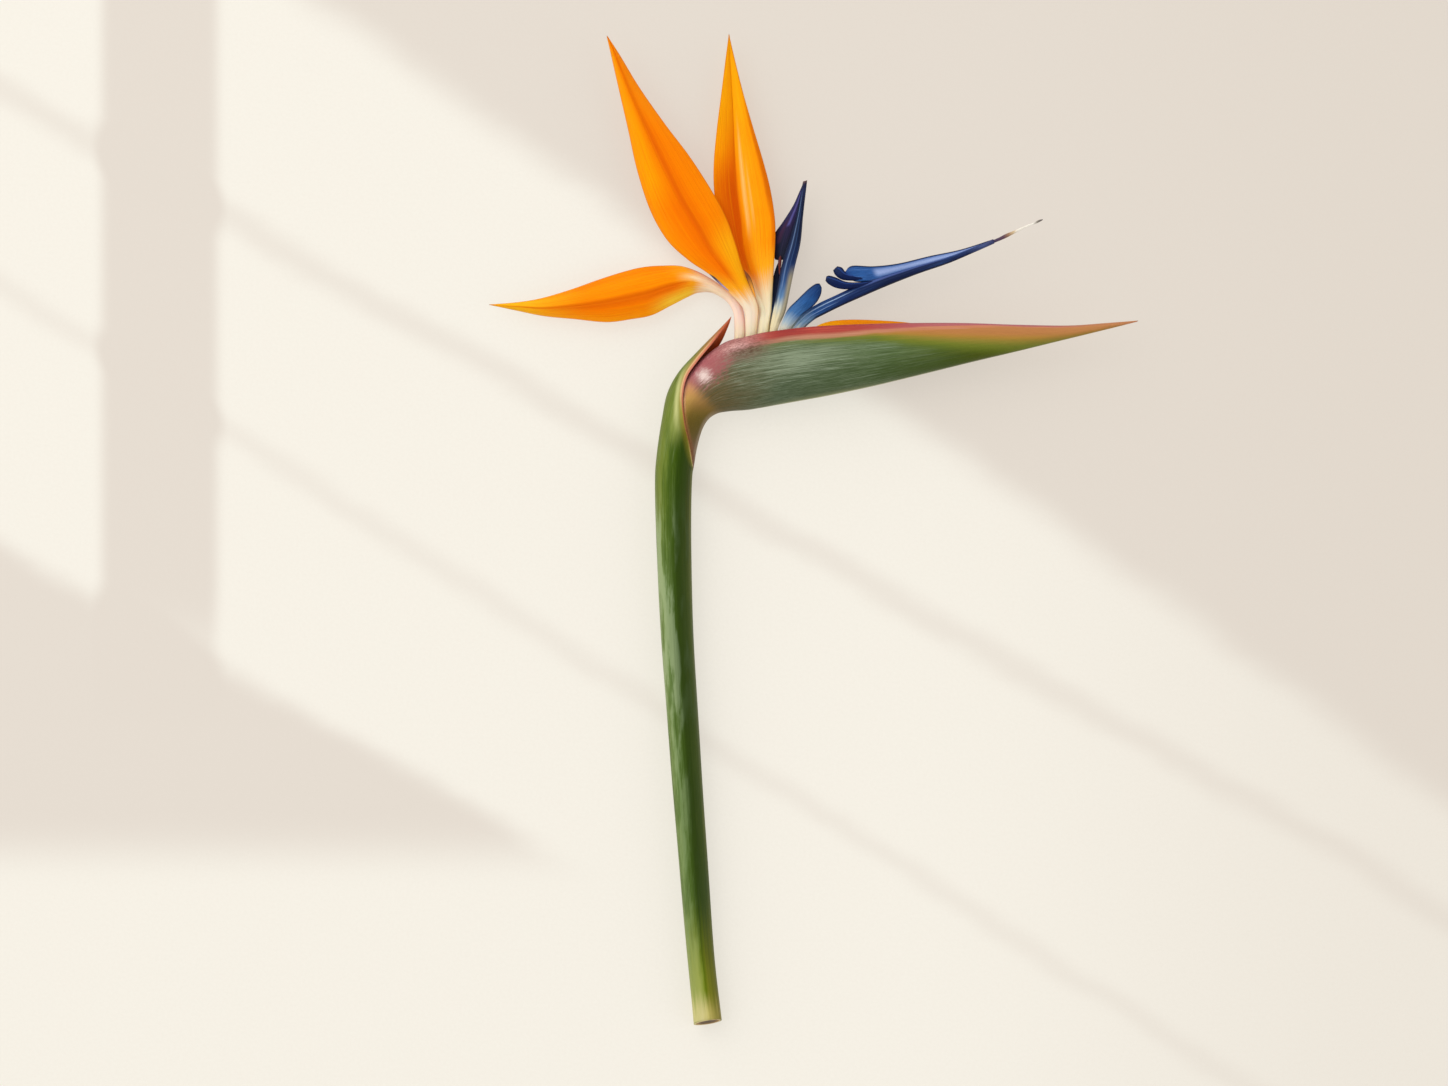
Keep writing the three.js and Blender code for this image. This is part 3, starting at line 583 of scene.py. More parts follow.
def stem_finish():
    m = Finish("stem_skin", specular=0.2, gloss=LEAF_GLOSS)
    streak = m.fibre(0.9, 0.012, 5)
    fine = m.fibre(4.5, 0.05, 4)
    blotch = m.noise(m.place, (0.11, 0.11, 0.11), 3)
    patch = m.noise(m.place, (0.24, 0.035, 0.24), 5, 0.62)
    wander, drift = streak - 0.5, patch - 0.5

    # The scape: painted round shading, lighter on its left and darker on its right down to its foot and cut
    # end, a silvery bloom and pale streaks that are stronger on the painted lit side, and a yellow foot
    side = m.u + wander * 0.3 + drift * 0.4
    green = m.colours(side, "0 627636, 0.12 6a8044, 0.24 607840, 0.36 4a6228, 0.48 30460e, 0.6 283a0c, "
                      "0.76 28380e, 0.9 344214, 1 4c541e")
    upper = m.colours(side, "0 626e28, 0.14 6a782a, 0.3 586c20, 0.44 385008, 0.58 263c04, 0.8 263606, "
                      "0.93 363e0c, 1 545816")
    lit = side.ease(0.62, 0.3)
    bloom = patch.ease(0.56, 0.42) * m.y.ease(18, -4) * m.y.ease(-105, -45, 0.3, 1)
    bloom = bloom * (0.12 + lit * 0.6)
    moss = patch.ease(0.5, 0.64) * m.u.ease(0.75, 0.3) * 0.5
    foot = m.colours(side, "0 8c9650, 0.3 98a050, 0.45 7a8828, 0.56 5c6c06, 0.68 74761c, 0.82 666616, "
                     "1 5c5c1e")
    low = m.y + wander * 26
    end = m.colours(side, "0 c0ba78, 0.35 cec488, 0.55 c4b86c, 0.7 a89a50, 0.85 8e823c, 1 786c30")
    green = m.coat(green, [
        (m.y.ease(-25, 15), upper),
        (bloom, m.blend(m.u.ease(0.1, 0.7), "9cac80", "66765c")),
        (moss, "3c5414"),
        (fine.ease(0.5, 0.72) * lit * 0.3, "98a878"),
        (fine.ease(0.48, 0.34) * 0.25, "2c3c10"),
        (low.ease(-130, -168), foot),
        ((m.y + wander * 16).ease(-165, -175), end),
    ])

    # The sheath: a painted sheen over its flank, then its margin from green to rosy towards the tip
    # Painted sheen: a paler band along the middle of the sheath's flank
    painted_sheen = m.u.band(0.4, 0.3) * m.y.ease(28, 38) * m.y.ease(64, 54) * 0.5
    near = m.y.ease(14, 28) * m.edge.ease(3.6, 0.4)
    by_margin = m.colours(m.y.slide(14, 66), "0 6c7020, 0.4 7c6c1e, 0.55 a09038, 0.75 ac8c48, 1 b08850")
    off_glow = m.edge + m.y.slide(38, 50, -4.0, -2.6)
    glow = off_glow.band(0, 2.0) * m.y.ease(34, 44) * m.y.ease(64, 50) * 0.85
    top = m.y - m.edge * 0.9 + wander * 8
    pale = m.y.ease(42, 50) * m.y.ease(74, 64) * m.edge.band(0.85, 0.7) * 0.8
    hem = m.y.ease(34, 26) * m.y.ease(4, 12) * m.edge.band(0.5, 0.6) * 0.85
    line = m.y.ease(19, 24) * m.edge.ease(0.5, 0.25)
    margin = m.colours(m.y.slide(19, 74), "0 9c8450, 0.25 8c5830, 0.45 b06448, 0.6 cc7c6c, 0.8 d07c64, "
                       "1 b8583c")
    inside = m.blend(m.y.ease(60, 73), "a0401c", "cc6034")
    green = m.coat(green, [
        (painted_sheen, "a4ac5c"),
        (near * 0.75, by_margin),
        (glow, "c4c484"),
        (top.ease(58, 72) * 0.9, "a05c34"),
        (pale, "e4b088"),
        (hem, "b8a060"),
        (line, margin),
    ])

    # The sheath's inner skin and the cut face
    inside = m.blend(streak.ease(0.5, 0.6) * 0.5, inside, "946024")
    colour = m.blend(m.edge.ease(-0.4, -0.8) * m.edge.ease(-1.6, -1.2), green, inside)
    # The cut face: cream by its rim and brown towards its middle, partly its own browning and partly painted
    # shade
    ringed = CUT_MARK - m.edge
    cut = m.colours(ringed + (blotch - 0.5) * 0.25, "0 e4d498, 0.08 ecdcac, 0.17 a87c3c, 0.4 5c3c14, "
                    "1 40280c")
    colour = m.blend(m.edge.ease(-1.5, -1.8), colour, cut)
    height = fine * 0.6 + streak * 0.5
    return m.finish(colour, height, 0.12, fine.ease(0.35, 0.7, 0.36, 0.52))


# The spathe: a neck in the sheath that swells into a boat with a slot along its top

SPATHE = whole([
    [-44.2, SHEATH_FLOOR + GAP, -55.4, SHEATH_FLOOR + GAP, 0, 6.1, 0],
    [-43.9, 6, -56.0, 6, 0, 6.2, 0],
    [-43.3, 17, -56.3, 19, 0, 6.35, 0],
    [-42.3, 25.5, -55.2, 31, 0, 6.5, 0],
    [-40.8, 33, -52.4, 43, 0, 6.6, 0.02],
    [-38.3, 39, -47.4, 53, 0, 6.7, 0.08],
    [-34.5, 42, -40.6, 61.2, 0, 6.9, 0.2],
    [-29.5, 43.0, -32.6, 67.2, 0, 7.4, 0.32],
    [-22, 43.7, -24.0, 70.7, 0, 8.1, 0.4],
    [-12, 45.4, -13, 72.5, 0, 8.85, 0.42],
    [0, 47.5, 0, 73.8, 0, 9.2, 0.42],
    [16, 50.7, 16.5, 74.4, 0, 8.7, 0.42],
    [34, 54.8, 34.5, 74.7, 0, 7.3, 0.4],
    [54, 59.7, 54, 74.6, 0, 5.5, 0.38],
    [74, 64.5, 74, 73.9, 0, 3.9, 0.3],
    [92, 68.9, 92, 73.6, 0, 2.5, 0.2],
    [106, 72.3, 106, 74.5, 0, 1.3, 0.1],
    [116.4, 74.9, 116.8, 75.3, 0, 0.3, 0],
])
SLOT = (0.405, 0.89)  # where the slot starts and ends along the spathe
SLOT_WIDTHS = [[0.8], [3.2], [3.3], [3.3], [3.1], [2.5], [1.8], [1.2], [0.8], [0.5]]  # half widths


def lip_angle(t, half, inset):
    """The angle at which the section reaches the edge of the slot of that half width."""
    depth, taper = along(SPATHE, t)[..., 5] - inset, along(SPATHE, t)[..., 6]
    share = half / np.maximum(depth, 0.05) * (1 - 0.42 * taper) / (1 - taper)
    sine = np.clip(share, 0, 0.97) ** (1 / (1 - 1.1 * taper))
    return math.pi - np.arcsin(np.clip(sine, 0, 1))


def under_sheath(points):
    """How far a point lies under the sheath from its margin, in mm; negative where it is free."""
    x, y, h = points[..., 0], points[..., 1], points[..., 2] - LIFT - RISE * (points[..., 0] - PIVOT_X)
    under = np.zeros(x.shape)
    for margin, side in ((FRONT_MARGIN, h >= 0), (BACK_MARGIN, h < 0)):
        line = along(margin, np.linspace(0, 1, 300))
        apart = np.hypot(x[..., None] - line[:, 0], y[..., None] - line[:, 1]).min(-1)
        inside = np.where(past_margin(margin, x, y) < 0, apart, -apart)
        inside[y > line[-1, 1]] = -5
        under = np.where(side, inside, under)
    return under


def make_spathe():
    t, length = even(centres(SPATHE)[:, :2], HULL_STEP)
    share = (t - SLOT[0]) / (SLOT[1] - SLOT[0])
    half = along(SLOT_WIDTHS, np.clip(share, 0, 1))[:, 0]
    half = half * ramp(share, -0.01, 0.05) * ramp(share, 1.06, 0.99)  # pointed at both ends
    s = np.linspace(-1, 1, SPATHE_COLUMNS)[None]
    angle = s * lip_angle(t, half, 0)[:, None]
    angle[half <= 0] = s * math.pi
    t2 = t[:, None] + 0 * angle
    outer = section(SPATHE, t2, angle)
    edge = edge_distance(outer)
    wall = mix(SPATHE_EDGE, SPATHE_WALL, ramp(edge, 0, THIN_EDGE))
    wall = np.minimum(wall, 0.4 * along(SPATHE, t2)[..., 5])
    inner_angle = s * lip_angle(t, half, wall[:, :1].mean(1))[:, None]
    inner_angle[half <= 0] = s * math.pi
    inner = section(SPATHE, t2, inner_angle, wall)

    # The outer skin: streaks, wrinkles and a fold under the lip; it is tighter under the sheath
    out = normals(outer)
    middle = outer.mean(1, keepdims=True)
    out *= np.sign((out * (outer - middle)).sum(-1).mean())
    x = outer[..., 0]
    lengthwise = t2 * length
    fade = ramp(edge, 0.4, 3.0)
    streaks = 0.03 * np.cos(46 * angle + 0.8 * np.sin(lengthwise / 23))
    streaks = streaks + 0.022 * np.cos(83 * angle - lengthwise / 31)
    wrinkles = 0.05 * waver(lengthwise / 5.0, 7 * angle, 2.0)
    wrinkles = wrinkles + 0.1 * waver(lengthwise / 14, 2.2 * angle, 0.4)
    fold = 0.25 * np.exp(-((edge - 4.6) / 1.1) ** 2) * ramp(x, -26, -5) * ramp(x, 112, 60)
    size = np.minimum(along(SPATHE, t2)[..., 5] / 5, 1)
    moved = (streaks + wrinkles) * fade * size - fold * size
    under = under_sheath(outer)
    covered = ramp(under, -0.7, 2.2)
    outer = outer + out * (moved * (1 - covered) - 1.35 * covered)[..., None]

    open_rows = np.flatnonzero(half > 0)
    first, last = open_rows[0] - 1, open_rows[-1] + 1
    spots, grains = marks(t2, angle, edge, 9, length)
    ax, ay, bx, by = np.moveaxis(along(SPATHE, t2), -1, 0)[:4]
    below = spots[:, -1:, 1] - spots[..., 1]
    zones = np.stack([below * np.hypot(bx - ax, by - ay), under, below], -1)
    body = Form()
    outer_ids, inner_ids = husk(body, outer, inner, spots, grains, zones, first, last)
    for ring in (outer_ids[0], outer_ids[-1], inner_ids[0], inner_ids[-1]):
        body.cap(ring[:-1])
    return body.build("spathe_bract")


def spathe_finish():
    m = Finish("spathe_skin", specular=0.2, gloss=LEAF_GLOSS)
    drop, under, below = m.split(m.attribute("zone"))
    streak = m.fibre(1.5, 0.05, 6, 0.6)
    stroke = m.fibre(4.2, 0.07, 4, 0.6)
    scratch = m.fibre(2.4, 0.028, 4, 0.6)
    fine = m.fibre(8.0, 0.25, 5, 0.65)
    blotch = m.noise(m.place, (0.07, 0.15, 0.07), 4)
    mottle = m.fibre(2.6, 0.5, 5, 0.65)
    wander, drift, fleck = streak - 0.5, blotch - 0.5, mottle - 0.5

    # The green skin under its bloom, darker low down by the keel: partly its own tone, partly painted shade
    # under the light from above
    run = m.x.slide(-45, 117) + wander * 0.1
    upper = m.colours(run, "0 6c5038, 0.12 62604c, 0.25 5c6a50, 0.45 566a42, 0.56 5a6a2e, 0.68 76742c, "
                      "0.8 a08434, 0.92 b8803c, 1 b4704a")
    lower = m.colours(run, "0 78582e, 0.1 5c5036, 0.2 4a5640, 0.42 3a4c24, 0.58 3a4a12, 0.7 4e5408, "
                      "0.82 806402, 1 a05c32")
    climb = m.u + wander * 0.35
    green = m.blend(climb.ease(0.12, 0.66), lower, upper)
    faded = m.x.ease(62, 10)
    off_x, off_y = (m.x + 6) * 0.05, (below - 0.42) * 5.5
    haze = (m.hypot(off_x, off_y) + drift * 1.6 + wander * 1.2).ease(1.25, 0.1)
    silver = stroke.ease(0.5, 0.66) * blotch.ease(0.34, 0.6) * faded
    silver = silver * m.u.ease(0.1, 0.4, 0.35, 1) * 0.5
    bloom = fine.ease(0.42, 0.66) * faded * m.x.ease(-42, -12) * 0.3
    dark = stroke.ease(0.47, 0.36) * m.x.ease(95, 40, 0.4, 1) * 0.5
    lines = scratch.band(0.5, 0.02) * m.x.ease(70, 20, 0.3, 1) * 0.6
    keel = m.u.ease(0.06, 0.02) * m.x.ease(-25, 5) * m.x.ease(30, 10) * 0.4
    green = m.coat(green, [
        (haze * 0.5, "98a48c"),
        (silver, "a4b09a"),
        (bloom, "94a488"),
        (dark, m.blend(faded, "3a4a08", "303e28")),
        (lines, "2e3c22"),
        (keel, "6c7038"),
    ])

    # Ochre and olive that reach further down towards the beak
    past = m.math("MAXIMUM", m.x - 5, 0)
    reach = past * past * (1 / 5400) + 0.27
    depth = (below + wander * 0.14 + drift * 0.08) / reach
    warm = m.colours(depth, "0 bc7c50, 0.3 b87a46, 0.45 a87c36, 0.58 8c7c32, 0.72 707628, 0.9 606e20")
    colour = m.blend(depth.ease(1.1, 0.7) * m.x.ease(-20, 30, 0.2, 1), green, warm)

    # The pink band and the red lip
    loose = wander * 2.0 + drift * 1.6
    pink_depth = m.x.slide(5, 70, 4.4, 0.9)
    pink = m.colours(m.x.slide(-30, 50), "0 8c5850, 0.35 b87c66, 1 c87e5e")
    pink = m.blend(stroke.ease(0.5, 0.64) * 0.4 * m.x.ease(-20, 0), pink, "cc9880")
    red_depth = m.x.slide(5, 62, 2.7, 0.6)
    red = m.blend(m.x.ease(12, 50), "ac3e3c", "b4626a")
    red = m.coat(red, [
        (streak.ease(0.5, 0.64) * m.x.ease(22, 5) * 0.7, "cc5c48"),
        (stroke.ease(0.46, 0.34) * m.x.ease(30, 5) * 0.5, "8c2c34"),
        (m.x.band(-9, 11) * 0.55, "8a2832"),
        (m.x.ease(-16, -25) * 0.8, "d08078"),
    ])
    rim = m.edge.ease(0.7, 0.2) * m.x.ease(20, 45) * m.x.ease(112, 90) * 0.5
    beak = m.x.ease(78, 102) * climb.ease(0.05, 0.5) * 0.75
    colour = m.coat(colour, [
        (((drop + loose) / pink_depth).ease(1.15, 0.8), pink),
        (((drop + loose * 0.5) / red_depth).ease(1.3, 0.75) * m.x.ease(112, 90, 0.4, 1), red),
        (rim, "6c2434"),
        (beak, "c08250"),
    ])

    # The rosy bulge over the neck, bruised and lilac under the lip
    flush = (drop + wander * 5 + fleck * 9 + drift * 8).ease(11, 3)
    flush = flush * (m.x + fleck * 14).ease(-12, -27) * 0.75
    off_x, off_y = (m.x + 38.5) * 0.1, (m.y - 57.5 - m.x * 0.35 - 14.5) * 0.13
    bulge = m.hypot(off_x, off_y) + wander * 0.6 + fleck * 1.8 + (fine - 0.5) * 0.8
    bruise = drop.band(5.4, 2.6) * m.x.band(-22.5, 9) * mottle.ease(0.62, 0.42, 0.35, 1) * 0.8
    lilac = drop.band(2.7, 1.7) * mottle.ease(0.4, 0.56, 0.3, 1) * m.x.band(-28, 7) * 0.85
    colour = m.coat(colour, [
        (flush, m.blend(mottle.ease(0.4, 0.6), "7c5654", "b48486")),
        (bulge.ease(1.2, 0.3) * 0.8, "a65660"),
        (bruise, "54342e"),
        (lilac, "dcaca8"),
    ])

    # The neck: golden by the sheath's margin, olive brown on its far side, darker there partly as painted
    # shade away from the light, with a pale painted highlight on the bulge
    neck = m.y + m.x * 1.1 + wander * 5
    skin = m.colours(m.y.slide(22, 56), "0 60443a, 0.2 745646, 0.34 705238, 0.48 7a5a24, 0.6 9c7830, "
                     "0.75 c09450, 0.88 c88a62, 1 bc6e64")
    # Painted shade: the side away from the light is darker olive brown, partly its own colour
    far_shade = m.u.ease(0.8, 0.35) * m.y.ease(28, 36) * 0.75
    skin = m.coat(skin, [
        (far_shade, m.blend(m.y.ease(40, 50), "54461a", "966a42")),
        (m.u.ease(0.1, 0.03) * 0.6, "8e7a62"),
    ])
    seam = m.colours(m.y.slide(24, 66), "0 6c4030, 0.25 805434, 0.42 9c6c40, 0.55 ecb488, 0.7 e8a090, "
                     "0.85 e09090, 1 c06c74")
    right, up = m.x + 39.1, m.y - 55.6  # from the middle of the painted highlight
    # Painted highlight: a soft pale patch on the bulge
    painted_glint = m.hypot((right - up * 0.35) * 0.28, (up + right * 0.3) * 0.28)
    painted_glint = painted_glint + fleck * 1.6 + (stroke - 0.5) * 0.8 + (fine - 0.5)
    colour = m.coat(colour, [
        (neck.ease(8, 1), skin),
        (under.ease(-1.5, -0.4) * 0.85, seam),
        (under.ease(0.5, 1.4) * 0.8, "a05c48"),
        (painted_glint.ease(1.15, 0.0) * 0.82, "f0dcd6"),
    ])

    # The pale line of the keel and the inner skin
    line = m.u.ease(0.014, 0.004) * m.x.ease(-30, -5) * m.x.ease(60, 30, 0.4, 1) * 0.6
    inside = m.colours(m.x.slide(-45, 117), "0 b87a6c, 0.4 cc9c80, 1 c0704a")
    colour = m.coat(colour, [
        (line, "9c9c68"),
        (m.edge.ease(-0.4, -0.8), inside),
    ])
    height = fine * 0.5 + stroke * 0.7 + scratch * 0.5
    return m.finish(colour, height, 0.16, fine.ease(0.35, 0.7, 0.38, 0.55))


# The sepals

SEPAL_DROOPING = [
    [-28.1, SEAT, 0, -26.3, SEAT, 0, -24.5, SEAT, 0, 3.4],
    [-27.9, 73, -0.3, -26.15, 73, -0.2, -24.4, 73, -0.3, 2.7],
    [-28.3, 78.6, -1.2, -26.7, 78.9, -0.9, -25.1, 79.2, -1.2, 2],
    [-30.9, 82.9, -2, -29.6, 83.9, -1.3, -28.3, 84.9, -2, 1.8],
    [-35.9, 85.8, -2.3, -35, 87.3, -0.9, -33.8, 88.9, -2.2, 1.5],
    [-40.9, 85.8, -2.1, -40.4, 89, 0.2, -39.9, 92.7, -1.8, 1.2],
    [-44.5, 84.4, -1.5, -45.3, 89.3, 1.4, -46.9, 95.3, -1, 1],
    [-51.1, 81, -0.6, -52.5, 87.4, 2.6, -54.4, 95.5, -0.2, 0.9],
    [-57.9, 77.6, 0.1, -59.5, 85, 3.4, -61.4, 94.9, 0.4, 0.9],
    [-65, 76.2, 0.6, -66.5, 83.5, 3.9, -68.4, 93.2, 0.9, 0.9],
    [-74.1, 75.1, 1, -75.4, 81.9, 4, -76.9, 90.5, 1.3, 0.9],
    [-85.7, 76.2, 1.4, -86.2, 80.6, 3.7, -86.8, 87, 1.5, 0.9],
    [-96.7, 77.3, 1.6, -97, 80, 3.1, -97.3, 83.9, 1.7, 0.8],
    [-106.6, 79.3, 1.8, -106.5, 80.7, 2.6, -106, 82.4, 1.9, 0.7],
    [-116.8, 81.5, 2, 0.6],
]
SEPAL_TALL_LEFT = [
    [-24.1, SEAT, 0, -22.2, SEAT, 0, -20.3, SEAT, 0, 3.4],
    [-24, 73.5, 0.3, -21.9, 73.5, 0.3, -19.9, 73.5, 0.3, 2.6],
    [-24.7, 79.6, 0.8, -22.1, 80, 1.2, -19.6, 80.4, 1, 1.6],
    [-29.7, 85.5, 1.2, -25.9, 86, 2.2, -21.8, 86.6, 1.4, 1.3],
    [-36.9, 92, 1.4, -31.1, 92.8, 3.1, -24.9, 93.6, 1.6, 1.1],
    [-44.8, 97.4, 1.7, -37, 100.1, 3.9, -28, 104, 1.8, 1],
    [-52.4, 104.6, 2.1, -41.6, 107.6, 4.5, -31.5, 113.5, 2, 0.9],
    [-58.5, 115.4, 2.6, -47.9, 118.2, 5.1, -37, 123.5, 2.2, 0.9],
    [-63.2, 129.8, 3.1, -54.5, 131.4, 5.6, -44.5, 135, 2.6, 0.9],
    [-66.4, 144.2, 3.7, -60.4, 144.8, 6, -53, 146.2, 3.2, 0.9],
    [-69.7, 158.6, 4.5, -66.3, 158.8, 6.3, -62.2, 159.3, 4.1, 0.9],
    [-72.6, 171.5, 5.5, -71.3, 171.4, 6.4, -69.5, 171.3, 5.3, 0.8],
    [-74, 178, 6.3, 0.7],
]
SEPAL_TALL_RIGHT = [
    [-19.9, SEAT, 0, -18.05, SEAT, 0, -16.2, SEAT, 0, 3.4],
    [-19.5, 73.5, -0.3, -17.6, 73.5, -0.3, -15.8, 73.5, -0.2, 2.6],
    [-19.3, 79.2, -1, -17.1, 79.4, -1.1, -14.9, 79.5, -0.6, 1.6],
    [-22.6, 84.7, -1.3, -19.4, 85.8, -1.8, -14.5, 86.5, -0.6, 1.3],
    [-26.3, 92.1, -1.2, -22.4, 93.4, -2.4, -13.9, 94.6, -0.3, 1.1],
    [-30.1, 100.5, -1, -24.9, 101.8, -3, -13.4, 103.9, 0, 1],
    [-33.4, 110.2, -0.6, -26, 111.3, -3.4, -13.5, 111.9, 0.2, 0.9],
    [-35.3, 120.8, -0.2, -27.3, 121.6, -3.5, -15.1, 122.6, 0.3, 0.9],
    [-35.6, 131.6, 0, -27.9, 132.3, -3.3, -17.8, 133.2, 0.3, 0.9],
    [-34.5, 144.3, 0, -28.3, 144.9, -2.9, -21.5, 145.6, 0.1, 0.9],
    [-32.9, 157.1, -0.2, -28.9, 157.5, -2.3, -25, 157.9, -0.2, 0.9],
    [-31.3, 170, -0.6, -29.6, 170, -1.6, -28, 170, -0.6, 0.8],
    [-30.1, 179.1, -1, 0.7],
]
SEPAL_FOLDED = [
    [-3.7, 66.2, -0.4, -3.7, 64.1, 0, -3.7, 62.2, -0.4, 1.8],
    [0, 72.3, -0.5, 0, 66.5, 0.1, 0, 61.6, -0.5, 1.2],
    [5, 75, -0.7, 5, 67.6, 0.3, 5, 60.9, -0.6, 0.9],
    [13, 75.9, -0.7, 13, 68.2, 0.4, 13, 60.9, -0.6, 0.9],
    [24, 75.6, -0.6, 24, 68.8, 0.4, 24, 62.3, -0.5, 0.8],
    [34, 74.8, -0.5, 34, 69.4, 0.3, 34, 64.3, -0.4, 0.8],
    [44, 73.2, -0.4, 44, 69.7, 0.2, 44, 66.4, -0.3, 0.8],
    [53, 70.8, -0.2, 53, 69.3, 0.1, 53, 67.8, -0.2, 0.7],
    [61, 68.6, 0, 0.6],
]


def sepal_finish(name, claw, across, claw_end, tip=None, streaks=()):
    """Orange from the claw on: the colours across the blade, of its claw and of its tip (start, end,
    colour), and streaks, which are stripes."""
    m = Finish(name, specular=0.25, gloss=ORANGE_GLOSS)
    streak = m.fibre(1.3, 0.025, 5)
    line = m.fibre(4.2, 0.03, 3, 0.6)
    fine = m.fibre(9.0, 0.15, 3)
    cloud = m.noise(m.place, (0.07, 0.07, 0.07), 3)
    wander = streak - 0.5
    u = m.u + wander * 0.12
    colour = m.colours(u * 0.5 + 0.5, across)
    up = m.t + wander * 0.12 - abs(m.u) * 0.03
    gold = up.ease(claw_end[1] + 0.08, claw_end[1] - 0.02) * 0.85
    colour = m.blend(gold, colour, "ffb820")
    if tip:
        colour = m.blend(m.t.ease(tip[0], tip[1]) * 0.8, colour, tip[2])
    colour = m.blend(cloud.ease(0.4, 0.7) * 0.15, colour, "f87400")
    colour = m.stripes(colour, u, streaks, rise=0.09, fall=0.12)
    rim = m.edge.ease(0.5, 0.1) * m.t.ease(0.2, 0.32)
    colour = m.coat(colour, [
        (streak.ease(0.5, 0.72) * 0.3, "ffa000"),
        (line.ease(0.5, 0.38) * 0.35, "e66000"),
        (fine.ease(0.55, 0.75) * 0.15, "e86400"),
        (rim * 0.5, "d06c04"),
        (up.ease(claw_end[1], claw_end[0]), claw(m, wander)),
        (m.t.ease(0.99, 0.998), "6c3a18"),
    ])
    height = fine * 0.3 + line * 0.9 + streak * 0.8
    return m.finish(colour, height, 0.14, fine.ease(0.35, 0.7, 0.38, 0.5), subsurface=0.1)


def cream_claw(left, right, flush, body):
    """A cream claw with a flush up one side, a yellower neck and a line along each margin."""
    def paint(m, wander):
        return m.coat(m.blend((m.u + wander).ease(-0.1, 0.9), body, flush), [
            (m.t.ease(0.14, 0.28) * 0.7, "fce0b4"),
            (m.t.ease(0.13, 0.03) * 0.6, "f4e8bc"),
            (m.u.ease(-0.76, -0.96) * 0.8, left),
            (m.u.ease(0.76, 0.96) * 0.8, right),
        ])
    return paint


# The hoods and tongues

HOOD_OLDER = [
    [-15.9, SEAT, -2.2, -14.4, SEAT, -2.2, -13, SEAT, -2.2, 1.1],
    [-15.8, 73.5, -2.2, -14.3, 73.5, -2.2, -12.9, 73.5, -2.2, 1],
    [-15.5, 80.5, -2.5, -14, 80.5, -2.5, -12.3, 80.5, -2.5, 0.9],
    [-14.9, 87.5, -2.7, -13.2, 87.5, -2.8, -11.6, 87.5, -2.7, 0.9],
    [-13.6, 93.4, -2.5, -12.5, 93.4, -2.6, -11.3, 93.4, -2.5, 0.8],
    [-12.2, 97, -2.4, 0.7],
]
HOOD_YOUNGER = [
    [-12.7, SEAT, 0.2, -10.9, SEAT, 0.2, -9.2, SEAT, 0.2, 2.2],
    [-12.3, 71, 0.4, -10.5, 71, 0.5, -8.5, 70.6, 0.5, 1.7],
    [-11, 75.1, 0.9, -9.4, 74.4, 1.2, -7.1, 73.9, 1.3, 1.4],
    [-8.9, 79.5, 1.5, -6.7, 78.3, 2, -4.2, 77.1, 1.8, 1.2],
    [-5.4, 83.1, 2, -3.2, 81.3, 2.6, -1, 79.6, 2, 1.1],
    [-1.7, 86.7, 2.1, -0.2, 84.3, 2.7, 1.5, 82.1, 2, 1.1],
    [0.9, 88.6, 2.1, 2, 86.8, 2.5, 3, 84.9, 2.1, 1],
    [2.5, 88.8, 2.1, 2.9, 88.2, 2.1, 3.3, 87.3, 2.1, 0.8],
]
TONGUE_UPRIGHT = [
    [-15.8, SEAT, -13.3, SEAT, 0.6, 1.6],
    [-15.3, 73, -12.3, 73, 0.6, 1.5],
    [-14.1, 79.5, -9.8, 79, 0.4, 1.6],
    [-12.7, 87, -8.1, 86.9, 0, 1.7],
    [-11.2, 95.5, -6.4, 95, -0.5, 1.7],
    [-8.6, 104, -4.4, 103.5, -0.9, 1.5],
    [-6.0, 113, -3.5, 112.8, -1, 1.1],
    [-4.6, 120, -2.7, 120, -0.9, 0.8],
    [-3.4, 125.7, -1.9, 126.1, -0.7, 0.45],
]
TONGUE_UPRIGHT_WING = [
    [-13.4, 97.6, -1.9, -12.2, 97.4, -1.7, -10.2, 97.6, -0.9, 0.8],
    [-14.7, 101.5, -2, -11.9, 102, -1.8, -8.3, 102.4, -1, 0.9],
    [-14.2, 106, -1.9, -10.6, 106.8, -1.7, -7, 107.6, -1, 0.9],
    [-10.4, 111.6, -1.6, -8.2, 112, -1.4, -5.6, 112.8, -1, 0.9],
    [-7, 117, -1.2, -5.8, 117.4, -1.1, -4.4, 117.8, -0.9, 0.8],
    [-4.8, 121.8, -1, -4.2, 122, -0.9, -3.6, 122.2, -0.8, 0.7],
    [-3.2, 125.4, -0.8, -3, 125.4, -0.8, -2.8, 125.4, -0.8, 0.5],
]
TONGUE_FORWARD = [
    [-8.8, SEAT, -4.5, SEAT, 0, 1.7],
    [-8.1, 72.8, -3.8, 71.6, -0.9, 1.5],
    [-4.4, 77.6, 0.1, 75.6, -1.3, 1.5],
    [1.6, 81.5, 4.2, 77.9, -1.0, 1.5],
    [8.6, 84.8, 10.6, 81.0, -0.5, 1.4],
    [16.0, 88.2, 17.6, 84.1, 0, 1.4],
    [25.2, 91.6, 26.7, 88.0, 0, 1.4],
    [36.6, 95.2, 37.7, 92.3, 0, 1.3],
    [47.9, 98.6, 48.8, 96.1, 0, 1.1],
    [57.0, 101.9, 57.8, 99.9, 0, 0.95],
    [64.9, 104.7, 65.3, 103.1, 0, 0.75],
]
